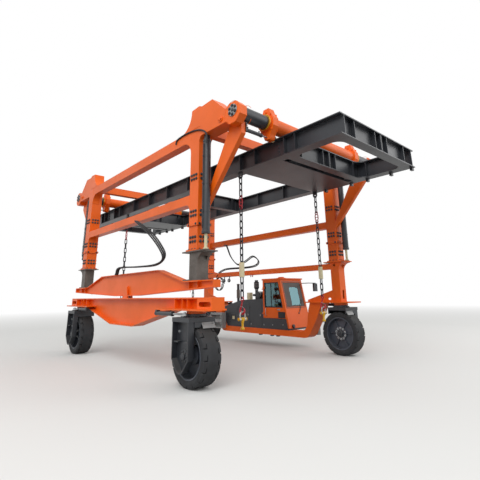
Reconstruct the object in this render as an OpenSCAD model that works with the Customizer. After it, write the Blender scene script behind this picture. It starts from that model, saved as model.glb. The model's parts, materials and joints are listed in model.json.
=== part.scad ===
// Four-wheel straddle carrier with a chain-hung load frame, in millimetres.
// +X is forward, +Y is the cab side, +Z is up, and the origin is on the ground
// in the middle of the four wheels.

/* [Running gear] */
// Distance between the front and rear wheel centres
wheel_base = 6220; // [6000:10:6600]
// Distance between the left and right wheel centres
wheel_track = 4920; // [4700:10:5200]
// Diameter of a tyre over its lugs
tyre_d = 1120; // [1060:10:1130]
// Width of a tyre
tyre_w = 400; // [340:5:420]
// Diameter of the seat of the tyre on its rim
rim_d = 826; // [780:2:860]
// Depth of the tyre's lugs
lug_depth = 30; // [20:1:40]
// Number of lugs round one shoulder of a tyre
lug_count = 17; // [14:1:17]
// Thickness of the rim's barrel and dish
rim_wall = 22; // [14:1:30]
// Number of ribs in the wheel's dish
rib_count = 6; // [5:1:8]
// Radius of the fixed stub axle
axle_r = 60; // [45:1:75]

/* [Steering fork] */
// Length of the fork leg along the machine
leg_l = 550; // [460:10:600]
// Depth of the fork leg's channel
leg_depth = 110; // [80:5:130]
// Thickness of the fork's plates
fork_plate = 22; // [16:1:30]
// Height of the fork's top box
fork_box_h = 80; // [60:5:90]
// Radius of the slewing ring
ring_r = 190; // [170:5:205]
// Distance of the steering lug from the slewing axis
steer_arm = 270; // [255:5:290]
// Radius of the steering cylinder's barrel
steer_barrel_r = 42; // [36:1:46]

/* [Portal] */
// Distance between the centres of the left and right columns
column_track = 4850; // [4750:10:4950]
// Side of a square outer column tube
tube_s = 315; // [300:5:330]
// Wall of the column tubes
tube_wall = 12; // [8:1:16]
// Side of a square pedestal post
post_s = 275; // [268:1:300]
// Side of a square inner mast
mast_s = 264; // [240:2:272]
// Height of the ground to the underside of the lowered portal
portal_low_z = 2500; // [2480:5:2600]
// Height of the ground to the top of the top beams
top_beam_z = 5200; // [5150:10:5260]
// Depth of the top beams
top_beam_h = 248; // [220:2:280]
// Height of the ground to the top of the middle beams
mid_beam_z = 3697; // [3640:10:3760]
// Depth of the middle beams
mid_beam_h = 200; // [160:5:220]
// Width of the longitudinal beams
beam_w = 220; // [180:5:240]
// Travel of the lift
lift_travel = 1750; // [1500:10:1800]
// Height of the ground to the axis of the cross tubes
cross_z = 5130; // [5100:5:5160]
// Distance forward of the column to the axis of a cross tube
cross_reach = 1290; // [1250:5:1330]
// Diameter of the black guide bar
guide_d = 300; // [260:5:310]
// Outer diameter of the orange sliding sleeve
sleeve_d = 340; // [330:5:360]

/* [Load frame] */
// Length of the load frame
frame_l = 12190; // [11800:10:12300]
// Width of the load frame
frame_w = 2960; // [2800:10:3000]
// Height of the ground to the top of the load frame
frame_z = 4796; // [4760:2:4800]
// Depth of the load frame's beams
frame_h = 422; // [380:2:440]
// Width of the girders' flanges
girder_w = 250; // [200:5:280]
// Thickness of the flanges
flange_t = 22; // [16:1:28]
// Distance between the front and rear chains
chain_span_x = 6000; // [5700:10:6100]
// Distance of the chains' middle in front of the middle of the machine
chain_centre_x = 270; // [0:10:300]
// Distance of a chain from the outer edge of the load frame
chain_inset = 76; // [60:1:120]
// Pitch of the chain links
link_pitch = 150; // [140:2:160]
// Thickness of the chain links
link_t = 28; // [20:1:32]

/* [Side frames] */
// Height of the ground to the top of the deck plates over the wheels
deck_z = 1390; // [1380:2:1420]
// Thickness of the deck plates
deck_t = 30; // [20:1:36]
// Height of the ground to the underside of the left sill
sill_z = 365; // [340:5:420]
// Height of the left sill
sill_h = 175; // [150:5:200]
// Width of the left sill
sill_w = 372; // [300:4:380]
// Height of the ground to the top of the right lower beam
lower_beam_z = 1598; // [1580:2:1620]
// Height of the ground to the underside of the lower beam's belly
belly_z = 950; // [900:10:1050]
// Height of the ground to the top of the rocker beam's ends
rocker_end_z = 1920; // [1900:5:1950]
// Height of the ground to the top of the rocker beam's middle
rocker_mid_z = 2210; // [2150:5:2280]

/* [Cab] */
// Distance of the cab's back wall in front of the middle of the machine
cab_x = 170; // [100:10:250]
// Length of the cab at its floor
cab_l = 1130; // [1000:10:1250]
// Length of the cab at its roof
cab_roof_l = 810; // [700:10:900]
// Width of the cab
cab_w = 1060; // [900:10:1150]
// Height of the ground to the cab's floor
cab_floor_z = 590; // [580:5:620]
// Height of the ground to the cab's roof
cab_roof_z = 2080; // [1980:10:2160]
// Thickness of the cab's walls
cab_wall = 40; // [30:1:50]

/* [Hidden] */
$fn = 48;

orange = "#dd4f1c";
black = "#23262b";
dark_grey = "#3a3c42";
glass = "#9fc0c4";
steel = "#9a9c9c";
dark_steel = "#5b5450";
cream = "#d9cfa8";
red = "#b81c2c";
yellow = "#d9a614";
ends = [1, -1];
sides = [1, -1];
seat_gap = 0.3;
run_gap = 6;
rod_gap = 1;
weld = 2;
axle_x = wheel_base / 2;
axle_y = wheel_track / 2;
wheel_r = tyre_d / 2;
column_x = axle_x;
column_y = column_track / 2;
tube_in = tube_s - 2 * tube_wall;

// Places children at a corner: e is 1 at the front and -1 at the back,
// s is 1 on the left and -1 on the right.
module at_corner(e, s, x, y) {
    mirror([e < 0 ? 1 : 0, 0, 0]) mirror([0, s < 0 ? 1 : 0, 0]) translate([x, y, 0]) children();
}

// Extrudes an outline of [x, z] points along Y from y0 over a width w
module wall_xz(y0, w) {
    translate([0, y0 + w, 0]) rotate([90, 0, 0]) linear_extrude(w) children();
}

// A block given by its lowest corner and its size
module block(low, size) {
    translate(low) cube(size);
}

// A rod along Y or X by its centre, from one coordinate over a length
module rod_y(x, y0, z, r, l) {
    translate([x, y0 + l, z]) rotate([90, 0, 0]) cylinder(r = r, h = l);
}
module rod_x(x0, y, z, r, l) {
    translate([x0, y, z]) rotate([0, 90, 0]) cylinder(r = r, h = l);
}

function unit(v) = v / norm(v);
// Moves each edge of a counter-clockwise outline inwards by t
function inset(p, t) = [for (i = [0 : len(p) - 1])
    let (a = p[(i + len(p) - 1) % len(p)], b = p[i], c = p[(i + 1) % len(p)],
        u = unit(b - a), v = unit(c - b), n1 = [-u[1], u[0]], n2 = [-v[1], v[0]], m = unit(n1 + n2))
    b + m * t / (m * n1)];
function arc(c, r, a0, a1, n) = [for (i = [0 : n]) let (a = a0 + (a1 - a0) * i / n)
    [c[0] + r * cos(a), c[1] + r * sin(a)]];

// A band of plate t thick along the inside of an outline
module band(p, t) {
    difference() {
        polygon(p);
        polygon(inset(p, t));
    }
}

// Wheels: the wheel's axis is Y through the origin, the fork leg is on +Y
hub_r = 165;
bolt_circle_r = 140;
dish_y = 70;
stub_in = -60;
shoulder = 14;
bead = 25;
// A tyre is one closed skin: rings of points from bead to bead, three steps to a lug,
// and at each shoulder every third point is sunk to make the notch between two lugs.
module tyre() {
    steps = 3 * lug_count;
    half = tyre_w / 2;
    bead_r = rim_d / 2 / cos(180 / steps);
    side_r = wheel_r - lug_depth - 50;
    // Columns: y, radius, depth of the notches, turn of the notches in steps
    rings = [
        [half - bead, bead_r, 0, 0],
        [half, side_r, 0, 0],
        [half - shoulder, wheel_r, lug_depth, 0],
        [0, wheel_r, 0, 0],
        [shoulder - half, wheel_r, lug_depth, 1],
        [-half, side_r, 0, 0],
        [bead - half, bead_r, 0, 0]];
    points = [for (ring = rings, i = [0 : steps - 1])
        let (a = i * 360 / steps, r = ring[1] - ((i + ring[3]) % 3 == 2 ? ring[2] : 0))
        [r * sin(a), ring[0], -r * cos(a)]];
    faces = [for (k = [0 : len(rings) - 1], i = [0 : steps - 1])
        let (n = (k + 1) % len(rings) * steps, m = k * steps, j = (i + 1) % steps)
        each [[m + i, n + j, m + j], [m + i, n + i, n + j]]];
    polyhedron(points, faces);
}

module rim() {
    barrel_r = rim_d / 2 - seat_gap;
    inner_r = barrel_r - rim_wall;
    half = tyre_w / 2 - bead;
    bore_r = axle_r + rod_gap;
    hub_face = -dish_y - 60;
    cap_face = hub_face - 22;
    difference() {
        rotate([-90, 0, 0]) rotate_extrude($fn = 64) polygon([
            [0, cap_face], [bore_r + 25, cap_face], [bore_r + 30, hub_face], [hub_r, hub_face],
            [hub_r, -dish_y], [inner_r, 20 - dish_y], [inner_r, -half], [barrel_r, -half],
            [barrel_r, half], [inner_r, half], [inner_r, 20 - dish_y + rim_wall],
            [hub_r, rim_wall - dish_y], [hub_r, 60], [bore_r + 40, 110], [bore_r, 110],
            [bore_r, stub_in - 5], [0, stub_in - 5]]);
        for (i = [0 : 9]) rotate([0, i * 36, 0]) rod_y(bolt_circle_r, hub_face - 1, 0, 10, 41);
    }
    for (i = [0 : rib_count - 1]) rotate([0, i * 360 / rib_count, 0])
        translate([0, 0, -8]) linear_extrude(16) polygon([[hub_r - 5, hub_face + 8],
            [inner_r + 5, -dish_y - 25], [inner_r + 5, 30 - dish_y], [hub_r - 5, 10 - dish_y]]);
}

// Fork: the slewing axis is Z through the origin, the wheel's centre is on it
ring_h = 55;
deck_gap = 120;
box_top = deck_z - deck_t - deck_gap;
box_bottom = box_top - fork_box_h;
leg_in = tyre_w / 2 + 30;
leg_out = leg_in + fork_plate + leg_depth;
steer_z = box_top + ring_h;
ring_wall = 60;
box_l = leg_l + 30;
box_in = 240;
skirt_low = 1065;
taper_z = 507;
foot_r = 150;
foot_z = 270;
module fork() {
    outline = concat([[-leg_l / 2, box_top], [-leg_l / 2, taper_z]],
        arc([0, foot_z + foot_r], foot_r, 215, 325, 8), [[leg_l / 2, taper_z], [leg_l / 2, box_top]]);
    stiff_l = leg_l * 0.32;
    color(black) {
        wall_xz(leg_in, fork_plate) polygon(outline);
        wall_xz(leg_in, leg_out - leg_in) band(outline, fork_plate);
        for (x = [weld - leg_l / 2, leg_l / 2 - weld - stiff_l])
            block([x, leg_in + weld, 800], [stiff_l, leg_depth, fork_plate]);
        difference() {
            block([-box_l / 2, -box_in, box_bottom], [box_l, leg_out + box_in, fork_box_h]);
            translate([0, 0, box_bottom - 1]) cylinder(r = axle_r, h = fork_box_h + 2);
        }
        for (x = [-box_l / 2, box_l / 2 - fork_plate])
            block([x, -box_in, skirt_low],
                [fork_plate, box_in + leg_in + weld, box_bottom - skirt_low + weld]);
        translate([0, 0, box_top - weld]) difference() {
            cylinder(r = ring_r, h = ring_h + weld);
            translate([0, 0, -1]) cylinder(r = ring_r - ring_wall, h = ring_h + 10);
        }
        block([-45, ring_r - 20, box_top - weld], [90, steer_arm + 80 - ring_r, 24 + weld]);
        rod_y(0, stub_in, wheel_r, axle_r, leg_in - stub_in + weld);
        rod_y(0, leg_in - 55, wheel_r, 115, 57);
    }
}

// Steering rod: its eye lies on the fork's lug
module steer_rod() {
    rod_l = 660;
    color(steel) {
        rod_x(-rod_l, steer_arm, steer_z, 22, rod_l - 30);
        translate([0, steer_arm, steer_z - 20]) difference() {
            cylinder(r = 45, h = 40);
            translate([0, 0, -1]) cylinder(r = 20, h = 42);
        }
    }
}

barrel_back = -1080;
barrel_front = -420;
module steer_barrel() {
    difference() {
        union() {
            rod_x(barrel_back, steer_arm, steer_z, steer_barrel_r, barrel_front - barrel_back);
            block([barrel_back + 10, steer_arm - 40, steer_z],
                [70, 80, deck_z - deck_t - steer_z - seat_gap]);
        }
        rod_x(barrel_back + 60, steer_arm, steer_z, 30, barrel_front - barrel_back - 110);
        rod_x(barrel_front - 60, steer_arm, steer_z, 22 + rod_gap, 70);
    }
}

module corner_fork(e, s) { at_corner(e, s, axle_x, axle_y) fork(); }
module corner_tyre(e, s) {
    color(black) at_corner(e, s, axle_x, axle_y) translate([0, 0, wheel_r]) tyre();
}
module corner_rim(e, s) {
    color(dark_grey) at_corner(e, s, axle_x, axle_y) translate([0, 0, wheel_r]) rim();
}
module corner_steer_rod(e, s) { at_corner(e, s, axle_x, axle_y) steer_rod(); }
module side_steer_barrels(s) {
    color(dark_steel) for (e = ends) at_corner(e, s, axle_x, axle_y) steer_barrel();
}

// Deck plate and upper slewing ring over a wheel, out to a distance in front of its centre
deck_back = -1110;
deck_left_front = 455;
deck_right_front = 690;
module deck(y0, w, front) {
    block([deck_back, y0, deck_z - deck_t], [front - deck_back, w, deck_t]);
    translate([0, 0, box_top + ring_h + run_gap])
        cylinder(r = ring_r, h = deck_gap - ring_h - run_gap + weld);
    translate([0, 0, box_top + run_gap]) cylinder(r = ring_r - ring_wall - seat_gap, h = 60);
}

// Left side frame: sill, swept legs, deck plates and gusset webs
sill_y = column_y - tube_s / 2;
sill_top = sill_z + sill_h;
bend_x = 1867;
bend_r = 262;
throat_x = 1734;
throat_r = 279;
post_y = column_y - post_s / 2;
module left_side_frame() {
    under = deck_z - deck_t + weld;
    half = concat([[0, sill_z]], arc([bend_x, sill_z + bend_r], bend_r, -90, -32, 8),
        [[2354, 891], [2594, under], [2150, under], [2081, 1148]],
        arc([throat_x, sill_top + throat_r], throat_r, -15, -90, 8), [[0, sill_top]]);
    web_x = column_x - post_s / 2 - seat_gap;
    color(orange) for (e = ends) mirror([e < 0 ? 1 : 0, 0, 0]) {
        wall_xz(sill_y, sill_w) polygon(half);
        translate([axle_x, axle_y, 0]) deck(-270, 570, deck_left_front);
        difference() {
            wall_xz(post_y, 30) polygon([[2075, deck_z - weld], [web_x, deck_z - weld],
                [web_x, 1705], [2075, 1444]]);
            for (x = [-25, 25]) rod_y(web_x - 110 + x, post_y - 1, 1470, 30, 32);
            block([web_x - 135, post_y - 1, 1440], [50, 32, 60]);
        }
    }
}

// Pedestals: a hollow post whose side plates flare out under the lift cylinder's seat
ped_top = portal_low_z - seat_gap;
ped_wall = 20;
flange_out = 38;
seat_t = 25;
seat_in = 330;
seat_out = 375;
flare_r = 210;
module pedestal(z0, boss) {
    p2 = post_s / 2;
    y2 = tube_s / 2 + flange_out;
    seat_low = ped_top - seat_t;
    flare_z = seat_low - 20 - flare_r;
    centre = [p2 + flare_r, flare_z];
    curve = arc(centre, flare_r, 180, 90, 8);
    flare = concat(curve, [[p2 + flare_r, seat_low + weld], [p2 - weld, seat_low + weld],
        [p2 - weld, flare_z]]);
    back = [for (i = [8 : -1 : 0]) centre + (curve[i] - centre) * (flare_r + 16) / flare_r];
    difference() {
        union() {
            block([-p2, -p2, z0], [post_s, post_s, seat_low - z0 + weld]);
            if (boss) rod_y(0, -p2 - 12, 2395, 62, 12 + weld);
        }
        block([ped_wall - p2, ped_wall - p2, z0 - 1],
            [post_s - 2 * ped_wall, post_s - 2 * ped_wall, seat_low - z0 - 10]);
        if (boss) {
            rod_y(0, -p2 - 13, 2395, 36, 40);
            for (z = [z0 + 110, z0 + 280]) rod_x(p2 - ped_wall - 1, 0, z, 40, ped_wall + 2);
            block([p2 - ped_wall - 1, -40, z0 + 110], [ped_wall + 2, 80, 170]);
        }
    }
    for (y = [-p2, p2 - ped_wall]) wall_xz(y, ped_wall) polygon(flare);
    difference() {
        wall_xz(weld - p2, post_s - 2 * weld) polygon(concat(curve, back));
        block([p2 + 4, -80, flare_z + 55], [flare_r - 70, 160, flare_r - 110]);
    }
    block([-seat_in, -y2, seat_low], [seat_in + seat_out, 2 * y2, seat_t]);
}

module left_pedestals() {
    color(orange) for (e = ends) at_corner(e, 1, column_x, column_y) pedestal(deck_z + seat_gap, true);
}
module right_pedestals() {
    y2 = tube_s / 2;
    color(dark_steel) for (e = ends) at_corner(e, -1, column_x, column_y) {
        pedestal(rocker_end_z + seat_gap, false);
        difference() {
            block([-seat_in, -y2, rocker_end_z + seat_gap], [seat_in + 240, 2 * y2, seat_t]);
            block([ped_wall - post_s / 2, ped_wall - post_s / 2, rocker_end_z],
                [post_s - 2 * ped_wall, post_s - 2 * ped_wall, 2 * seat_t]);
        }
    }
}

tie_top = portal_low_z - 52;
module left_tie_beam() {
    x1 = column_x - post_s / 2 - seat_gap;
    color(orange) block([-x1, post_y, tie_top - 160], [2 * x1, 200, 160]);
}

// Inner masts and lift rods
mast_top = top_beam_z - 200;
lift_x = tube_s / 2 + 155;
lift_y = 60;
barrel_r = 80;
barrel_low = portal_low_z + 320;
barrel_high = top_beam_z - 350;
rod_top = barrel_high - 150;
rod_r = 33;
module mast() {
    m2 = mast_s / 2;
    difference() {
        block([-m2, -m2, ped_top + seat_gap], [mast_s, mast_s, mast_top - ped_top]);
        block([-m2 + 14, -m2 + 14, ped_top + 30], [mast_s - 28, mast_s - 28, mast_top - ped_top]);
    }
}
module side_masts(s) { color(steel) for (e = ends) at_corner(e, s, column_x, column_y) mast(); }
module left_masts() { side_masts(1); }
module right_masts() { side_masts(-1); }
module side_lift_rods(s) {
    color(cream) for (e = ends) at_corner(e, s, column_x + lift_x, column_y + lift_y) {
        translate([0, 0, ped_top + seat_gap]) cylinder(r = rod_r, h = rod_top - ped_top);
        translate([0, 0, ped_top + seat_gap]) cylinder(r = rod_r + 22, h = 40);
    }
}
module left_lift_rods() { side_lift_rods(1); }
module right_lift_rods() { side_lift_rods(-1); }
module lift_barrels() {
    color(black) for (e = ends, s = sides) at_corner(e, s, column_x + lift_x, column_y + lift_y) {
        difference() {
            translate([0, 0, barrel_low]) cylinder(r = barrel_r, h = barrel_high - barrel_low);
            translate([0, 0, barrel_low + 90])
                cylinder(r = barrel_r - 14, h = barrel_high - barrel_low - 120);
            translate([0, 0, barrel_low - 1]) cylinder(r = rod_r + rod_gap, h = 100);
        }
        block([-40, -50, barrel_high - weld], [80, 100, cantilever_z - barrel_high + weld - seat_gap]);
    }
}
module left_steer_barrels() { side_steer_barrels(1); }
module right_steer_barrels() { side_steer_barrels(-1); }

// Portal: four outer tubes with rows of slide-pad screws, tied by beams
cantilever_z = top_beam_z - 238;
collar_z = 3010;
pad_screw_z = [2733, 3274, 4065];
module outer_tube() {
    s2 = tube_s / 2;
    h = top_beam_z - portal_low_z;
    difference() {
        union() {
            block([-s2, -s2, portal_low_z], [tube_s, tube_s, h]);
            block([-s2 - flange_out, -s2 - flange_out, portal_low_z],
                [tube_s + 2 * flange_out, tube_s + 2 * flange_out, 28]);
            block([-s2 - 30, -s2 - 30, collar_z], [tube_s + 60, tube_s + 60, 60]);
        }
        block([-tube_in / 2, -tube_in / 2, portal_low_z - 1], [tube_in, tube_in, h - 19]);
    }
    for (z = pad_screw_z, a = [0 : 90 : 270], i = [-1, 0, 1], j = [-1, 1])
        rotate([0, 0, a]) rod_x(s2 - weld, i * 85, z + j * 45, 16, 28 + weld, $fn = 6);
}
module outer_tubes() {
    color(orange) for (e = ends, s = sides) at_corner(e, s, column_x, column_y) outer_tube();
}

haunch_r = 300;
mid_haunch_r = 140;
beam_y = column_y + tube_s / 2 - beam_w;
module side_beam(s, z_top, h, r) {
    x1 = column_x - tube_s / 2 - seat_gap;
    haunch = arc([x1 - r, z_top - h - r], r, 0, 90, 8);
    mirror([0, s < 0 ? 1 : 0, 0]) wall_xz(beam_y, beam_w)
        polygon(concat([[-x1, z_top]], [for (p = haunch) [-p[0], p[1]]],
            [for (i = [8 : -1 : 0]) haunch[i]], [[x1, z_top]]));
}
module top_beams() { color(orange) for (s = sides) side_beam(s, top_beam_z, top_beam_h, haunch_r); }
module mid_beams() { color(orange) for (s = sides) side_beam(s, mid_beam_z, mid_beam_h, mid_haunch_r); }

// Column heads: gusset head, cantilever and eye plate for the guide bar
cross_x = column_x + cross_reach;
head_h = 506;
eye_at = [cross_x - 17, cross_z - 39];
eye_r = 243;
eye_in = 127;
bar_end_gap = 60;
module column_head() {
    s2 = tube_s / 2;
    top = top_beam_z + head_h;
    low = top_beam_z + seat_gap;
    root_r = 110;
    back_r = head_h - 46 - seat_gap;
    gusset = concat(
        arc([column_x + s2 + root_r + seat_gap, cantilever_z - root_r], root_r, 180, 90, 6),
        [[cross_x - 200, cantilever_z], [cross_x - 200, top_beam_z + 40], [cross_x - 280, top_beam_z + 90],
            [column_x + 613, top - 37], [column_x + 235, top - 50], [column_x + 134, top],
            [column_x - s2 + 10, top - 16]],
        arc([column_x - s2 - back_r, low + back_r], back_r, 0, -90, 8), [[column_x + s2 + seat_gap, low]]);
    wall_xz(column_y - s2, tube_s) polygon(gusset);
    difference() {
        wall_xz(column_y - s2 + eye_in, tube_s - eye_in) polygon(arc(eye_at, eye_r, 22.5, 337.5, 7));
        rod_y(cross_x, column_y - s2, cross_z, guide_d / 2 + seat_gap, tube_s - bar_end_gap);
    }
}
module column_heads() {
    color(orange) for (e = ends, s = sides) at_corner(e, s, 0, 0) column_head();
}
portal_tie = [200, 232];
brace_in = 3;
module cross_beams() {
    y1 = column_y - tube_s / 2 - seat_gap;
    color(orange) for (e = ends)
        block([e * column_x - portal_tie[0] / 2, -y1, top_beam_z - 82],
            [portal_tie[0], 2 * y1, portal_tie[1]]);
}
guide_end = column_y + tube_s / 2 - bar_end_gap;
module guide_bars() {
    color(black) for (e = ends) rod_y(e * cross_x, -guide_end, cross_z, guide_d / 2, 2 * guide_end);
}
module head_braces() {
    x0 = column_x + tube_s / 2 + seat_gap;
    top = cantilever_z - seat_gap;
    color(orange) for (e = ends, s = sides) at_corner(e, s, 0, 0)
        wall_xz(column_y - tube_s / 2 + brace_in, 110)
            polygon([[x0, mid_beam_z - 264], [cross_x + 20, top - 254], [cross_x + 20, top],
                [cross_x - 330, top], [x0, mid_beam_z - 97]]);
}

// Side shift: sleeves slide on the guide bars, one cylinder at each cross tube
bracket_y = frame_w / 2 + 85;
bracket_w = 160;
sleeve_end = bracket_y + 140;
shift_z = cross_z - 320;
shift_root = column_y - tube_s / 2 + brace_in;
shift_travel = 150;
shift_clear = 10.5;
shift_foot = 20;
shift_barrel_l = shift_root - shift_foot - bracket_y - bracket_w / 2 - shift_travel - shift_clear;
shift_rod_start = 195;
shift_rod_r = 18;
module shift_barrels() {
    color(black) for (e = ends) {
        difference() {
            rod_y(e * cross_x, shift_foot - shift_root, shift_z, 38, shift_barrel_l);
            rod_y(e * cross_x, shift_foot + 20 - shift_root, shift_z, 26, shift_barrel_l - 80);
            rod_y(e * cross_x, shift_barrel_l - 70 - shift_root, shift_z, shift_rod_r + rod_gap, 100);
        }
        block([e * cross_x - 45, seat_gap - shift_root, shift_z - 45], [90, 25, 190]);
    }
}
module shift_rods() {
    y0 = shift_rod_start - shift_root;
    color(steel) for (e = ends)
        rod_y(e * cross_x, y0, shift_z, shift_rod_r, -bracket_y - bracket_w / 2 - seat_gap - y0);
}
// A two-lobed clamp: one lobe over the sleeve, one under it for the cylinder's rod
module hanger_bracket(e, y) {
    half = [[0, -370], [62, -370], [100, -270], [205, -90], [205, 90], [110, 250], [75, 345], [0, 345]];
    difference() {
        translate([e * cross_x, 0, cross_z]) wall_xz(y - bracket_w / 2, bracket_w)
            polygon(concat(half, [for (i = [len(half) - 2 : -1 : 1]) [-half[i][0], half[i][1]]]));
        rod_y(e * cross_x, y - bracket_w / 2 - 1, cross_z, sleeve_d / 2 - 4, bracket_w + 2);
    }
}
module shift_sleeves() {
    color(orange) for (e = ends) {
        difference() {
            rod_y(e * cross_x, -sleeve_end, cross_z, sleeve_d / 2, 2 * sleeve_end);
            rod_y(e * cross_x, -sleeve_end - 1, cross_z, guide_d / 2 + seat_gap, 2 * sleeve_end + 2);
            rod_y(e * cross_x, 90 - sleeve_end, cross_z, guide_d / 2 + 5, 2 * sleeve_end - 180);
        }
        for (s = sides) hanger_bracket(e, s * bracket_y);
    }
}

// Load frame: two girders, end beams, cross beams and a belly plate between two of them
girder_y = frame_w / 2 - girder_w / 2;
web_t = 16;
frame_low = frame_z - frame_h;
chain_y = frame_w / 2 - chain_inset;
chain_top = frame_low - 120;
bay_half = girder_y - girder_w / 2 - seat_gap;
cross_beam_w = 220;
end_beam_x = frame_l / 2 - cross_beam_w / 2;
splice_beam_x = cross_x + 300;
belly_x = [3380, cross_x - 50];
girder_rib_x = [-splice_beam_x - 290, -splice_beam_x, -3812, -3315, -2200, -1100, 0, 1100, 2200, 3315, 3812,
    splice_beam_x, splice_beam_x + 290];
girder_lug_x = [3650, 4450, 4915, 5538, frame_l / 2 - 60];
beam_rib_y = [-1000, -240, -14, 14, 240, 1000];
cross_beam_x = concat([0], [for (e = ends, x = [end_beam_x, splice_beam_x, belly_x[0], belly_x[1]]) e * x]);
module i_section(w) {
    translate([-w / 2, frame_h - flange_t]) square([w, flange_t]);
    translate([-w / 2, 0]) square([w, flange_t]);
    translate([-web_t / 2, 0]) square([web_t, frame_h]);
}
// Rib plates of a beam along X, at a list of places
module ribs(places, w) {
    for (x = places)
        block([x - 8, 12 - w / 2, flange_t - weld], [16, w - 24, frame_h - 2 * flange_t + 2 * weld]);
}
// The plate that a chain's first link hangs in
module chain_lug() {
    difference() {
        wall_xz(-12, 24) polygon([[-70, frame_low + weld], [-70, chain_top + 20], [-35, chain_top - 30],
            [35, chain_top - 30], [70, chain_top + 20], [70, frame_low + weld]]);
        rod_y(0, -13, chain_top + link_rise, link_t, 26);
    }
}
// Rounds a corner of an end bay: plates on both flanges of a girder, up to a beam's edge
module bay_fillet(x, direction) {
    r = 200;
    for (z = [0, frame_h - flange_t]) translate([x, -girder_w / 2, z])
        mirror([direction < 0 ? 1 : 0, 0, 0]) mirror([0, 1, 0]) linear_extrude(flange_t)
            polygon(concat([[seat_gap, -weld], [r + seat_gap, -weld], [r + seat_gap, 0]],
                arc([r + seat_gap, r], r, 260, 180, 6)));
}
module load_girders() {
    color(black) for (s = sides) {
        translate([0, s * girder_y, frame_low]) {
            translate([-frame_l / 2, 0, 0]) rotate([90, 0, 90]) linear_extrude(frame_l) i_section(girder_w);
            ribs(girder_rib_x, girder_w);
            mirror([0, s < 0 ? 1 : 0, 0]) for (e = ends) {
                bay_fillet(e * (end_beam_x - cross_beam_w / 2), -e);
                bay_fillet(e * (splice_beam_x + cross_beam_w / 2), e);
            }
        }
        for (e = ends) translate([chain_centre_x + e * chain_span_x / 2, s * chain_y, 0]) chain_lug();
    }
    color(black) for (e = ends, x = girder_lug_x)
        block([e * x - 30, girder_y + 20, frame_low - 70], [60, 90, 70 + weld]);
}
module load_cross_beams() {
    color(black) for (x = cross_beam_x) translate([x, 0, frame_low]) {
        translate([0, bay_half, 0]) rotate([90, 0, 0]) linear_extrude(2 * bay_half) i_section(cross_beam_w);
        rotate([0, 0, 90]) ribs(beam_rib_y, cross_beam_w);
    }
    color(black) for (e = ends) mirror([e < 0 ? 1 : 0, 0, 0]) {
        block([belly_x[0], -bay_half, frame_low], [belly_x[1] - belly_x[0], 2 * bay_half, 12]);
    }
}
// Hanger plates between the load frame and the sleeves, narrow in the middle
module load_hangers() {
    h = cross_z - sleeve_d / 2 - frame_z - 2 * seat_gap;
    color(steel) for (e = ends, s = sides)
        translate([e * cross_x, s * (frame_w / 2 - 40) - 15, frame_z + seat_gap]) wall_xz(0, 30)
            polygon([[-90, 0], [90, 0], [60, 60], [45, h], [-45, h], [-60, 60]]);
}

// Chains: a short run, a shortener, a long run in a sleeve, and a hook with its shackle
link_rise = link_t * sqrt(3) / 2;
link_w = 3.4 * link_t;
upper_links = 3;
lower_links = 13;
shortener_top = chain_top - upper_links * link_pitch;
shortener_l = 286;
lower_top = shortener_top - shortener_l;
module chain_link() {
    l = link_pitch + 2 * link_t + seat_gap;
    w = link_w;
    difference() {
        polygon([[-l / 2, -w / 4], [-l / 2 + w / 4, -w / 2], [l / 2 - w / 4, -w / 2], [l / 2, -w / 4],
            [l / 2, w / 4], [l / 2 - w / 4, w / 2], [-l / 2 + w / 4, w / 2], [-l / 2, w / 4]]);
        square([l - 2 * link_t, w - 2 * link_t], center = true);
    }
}
module chain_run(top, count) {
    for (i = [0 : count - 1]) translate([0, 0, top - (i + 0.5) * link_pitch]) rotate([0, 0, i % 2 * 90])
        rotate([0, 90, 0]) translate([0, 0, -link_t / 2]) linear_extrude(link_t) chain_link();
}
module at_chains() {
    for (e = ends, s = sides) translate([chain_centre_x + e * chain_span_x / 2, s * chain_y, 0]) children();
}
module lift_chains() {
    color(black) at_chains() {
        chain_run(chain_top, upper_links);
        chain_run(lower_top, lower_links);
    }
}
hook_top = lower_top - lower_links * link_pitch;
hook_eye_z = hook_top - seat_gap - link_rise;
bow_r = 85;
bow_t = 32;
bow_z = hook_top - 353;
bowl_r = 45;
bowl_z = bow_z + bow_r - bow_t + bowl_r;
pin_z = bow_z - 75;
pin_r = 15;
hook_t = 26;
module eye_plate(low, low_r, high, high_r) {
    wall_xz(-hook_t / 2, hook_t)
        polygon(concat(arc([0, low], low_r, 170, 370, 16), arc([0, high], high_r, -10, 190, 12)));
}
module chain_hooks() {
    high = shortener_top - seat_gap - link_rise;
    low = lower_top + link_rise;
    color(red) at_chains() {
        difference() {
            union() {
                eye_plate(low, 50, high, 50);
                wall_xz(-hook_t / 2, hook_t)
                    polygon([[-40, low + 30], [-58, low + 80], [-58, high - 80], [-40, high - 30],
                        [40, high - 30], [58, high - 80], [58, low + 80], [40, low + 30]]);
            }
            for (z = [low, high]) rod_y(0, -hook_t / 2 - 1, z, link_t, hook_t + 2);
        }
        difference() {
            eye_plate(bowl_z, bowl_r + 48, hook_eye_z, 50);
            rod_y(0, -hook_t / 2 - 1, hook_eye_z, link_t, hook_t + 2);
            rod_y(0, -hook_t / 2 - 1, bowl_z, bowl_r, hook_t + 2);
        }
    }
}
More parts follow.
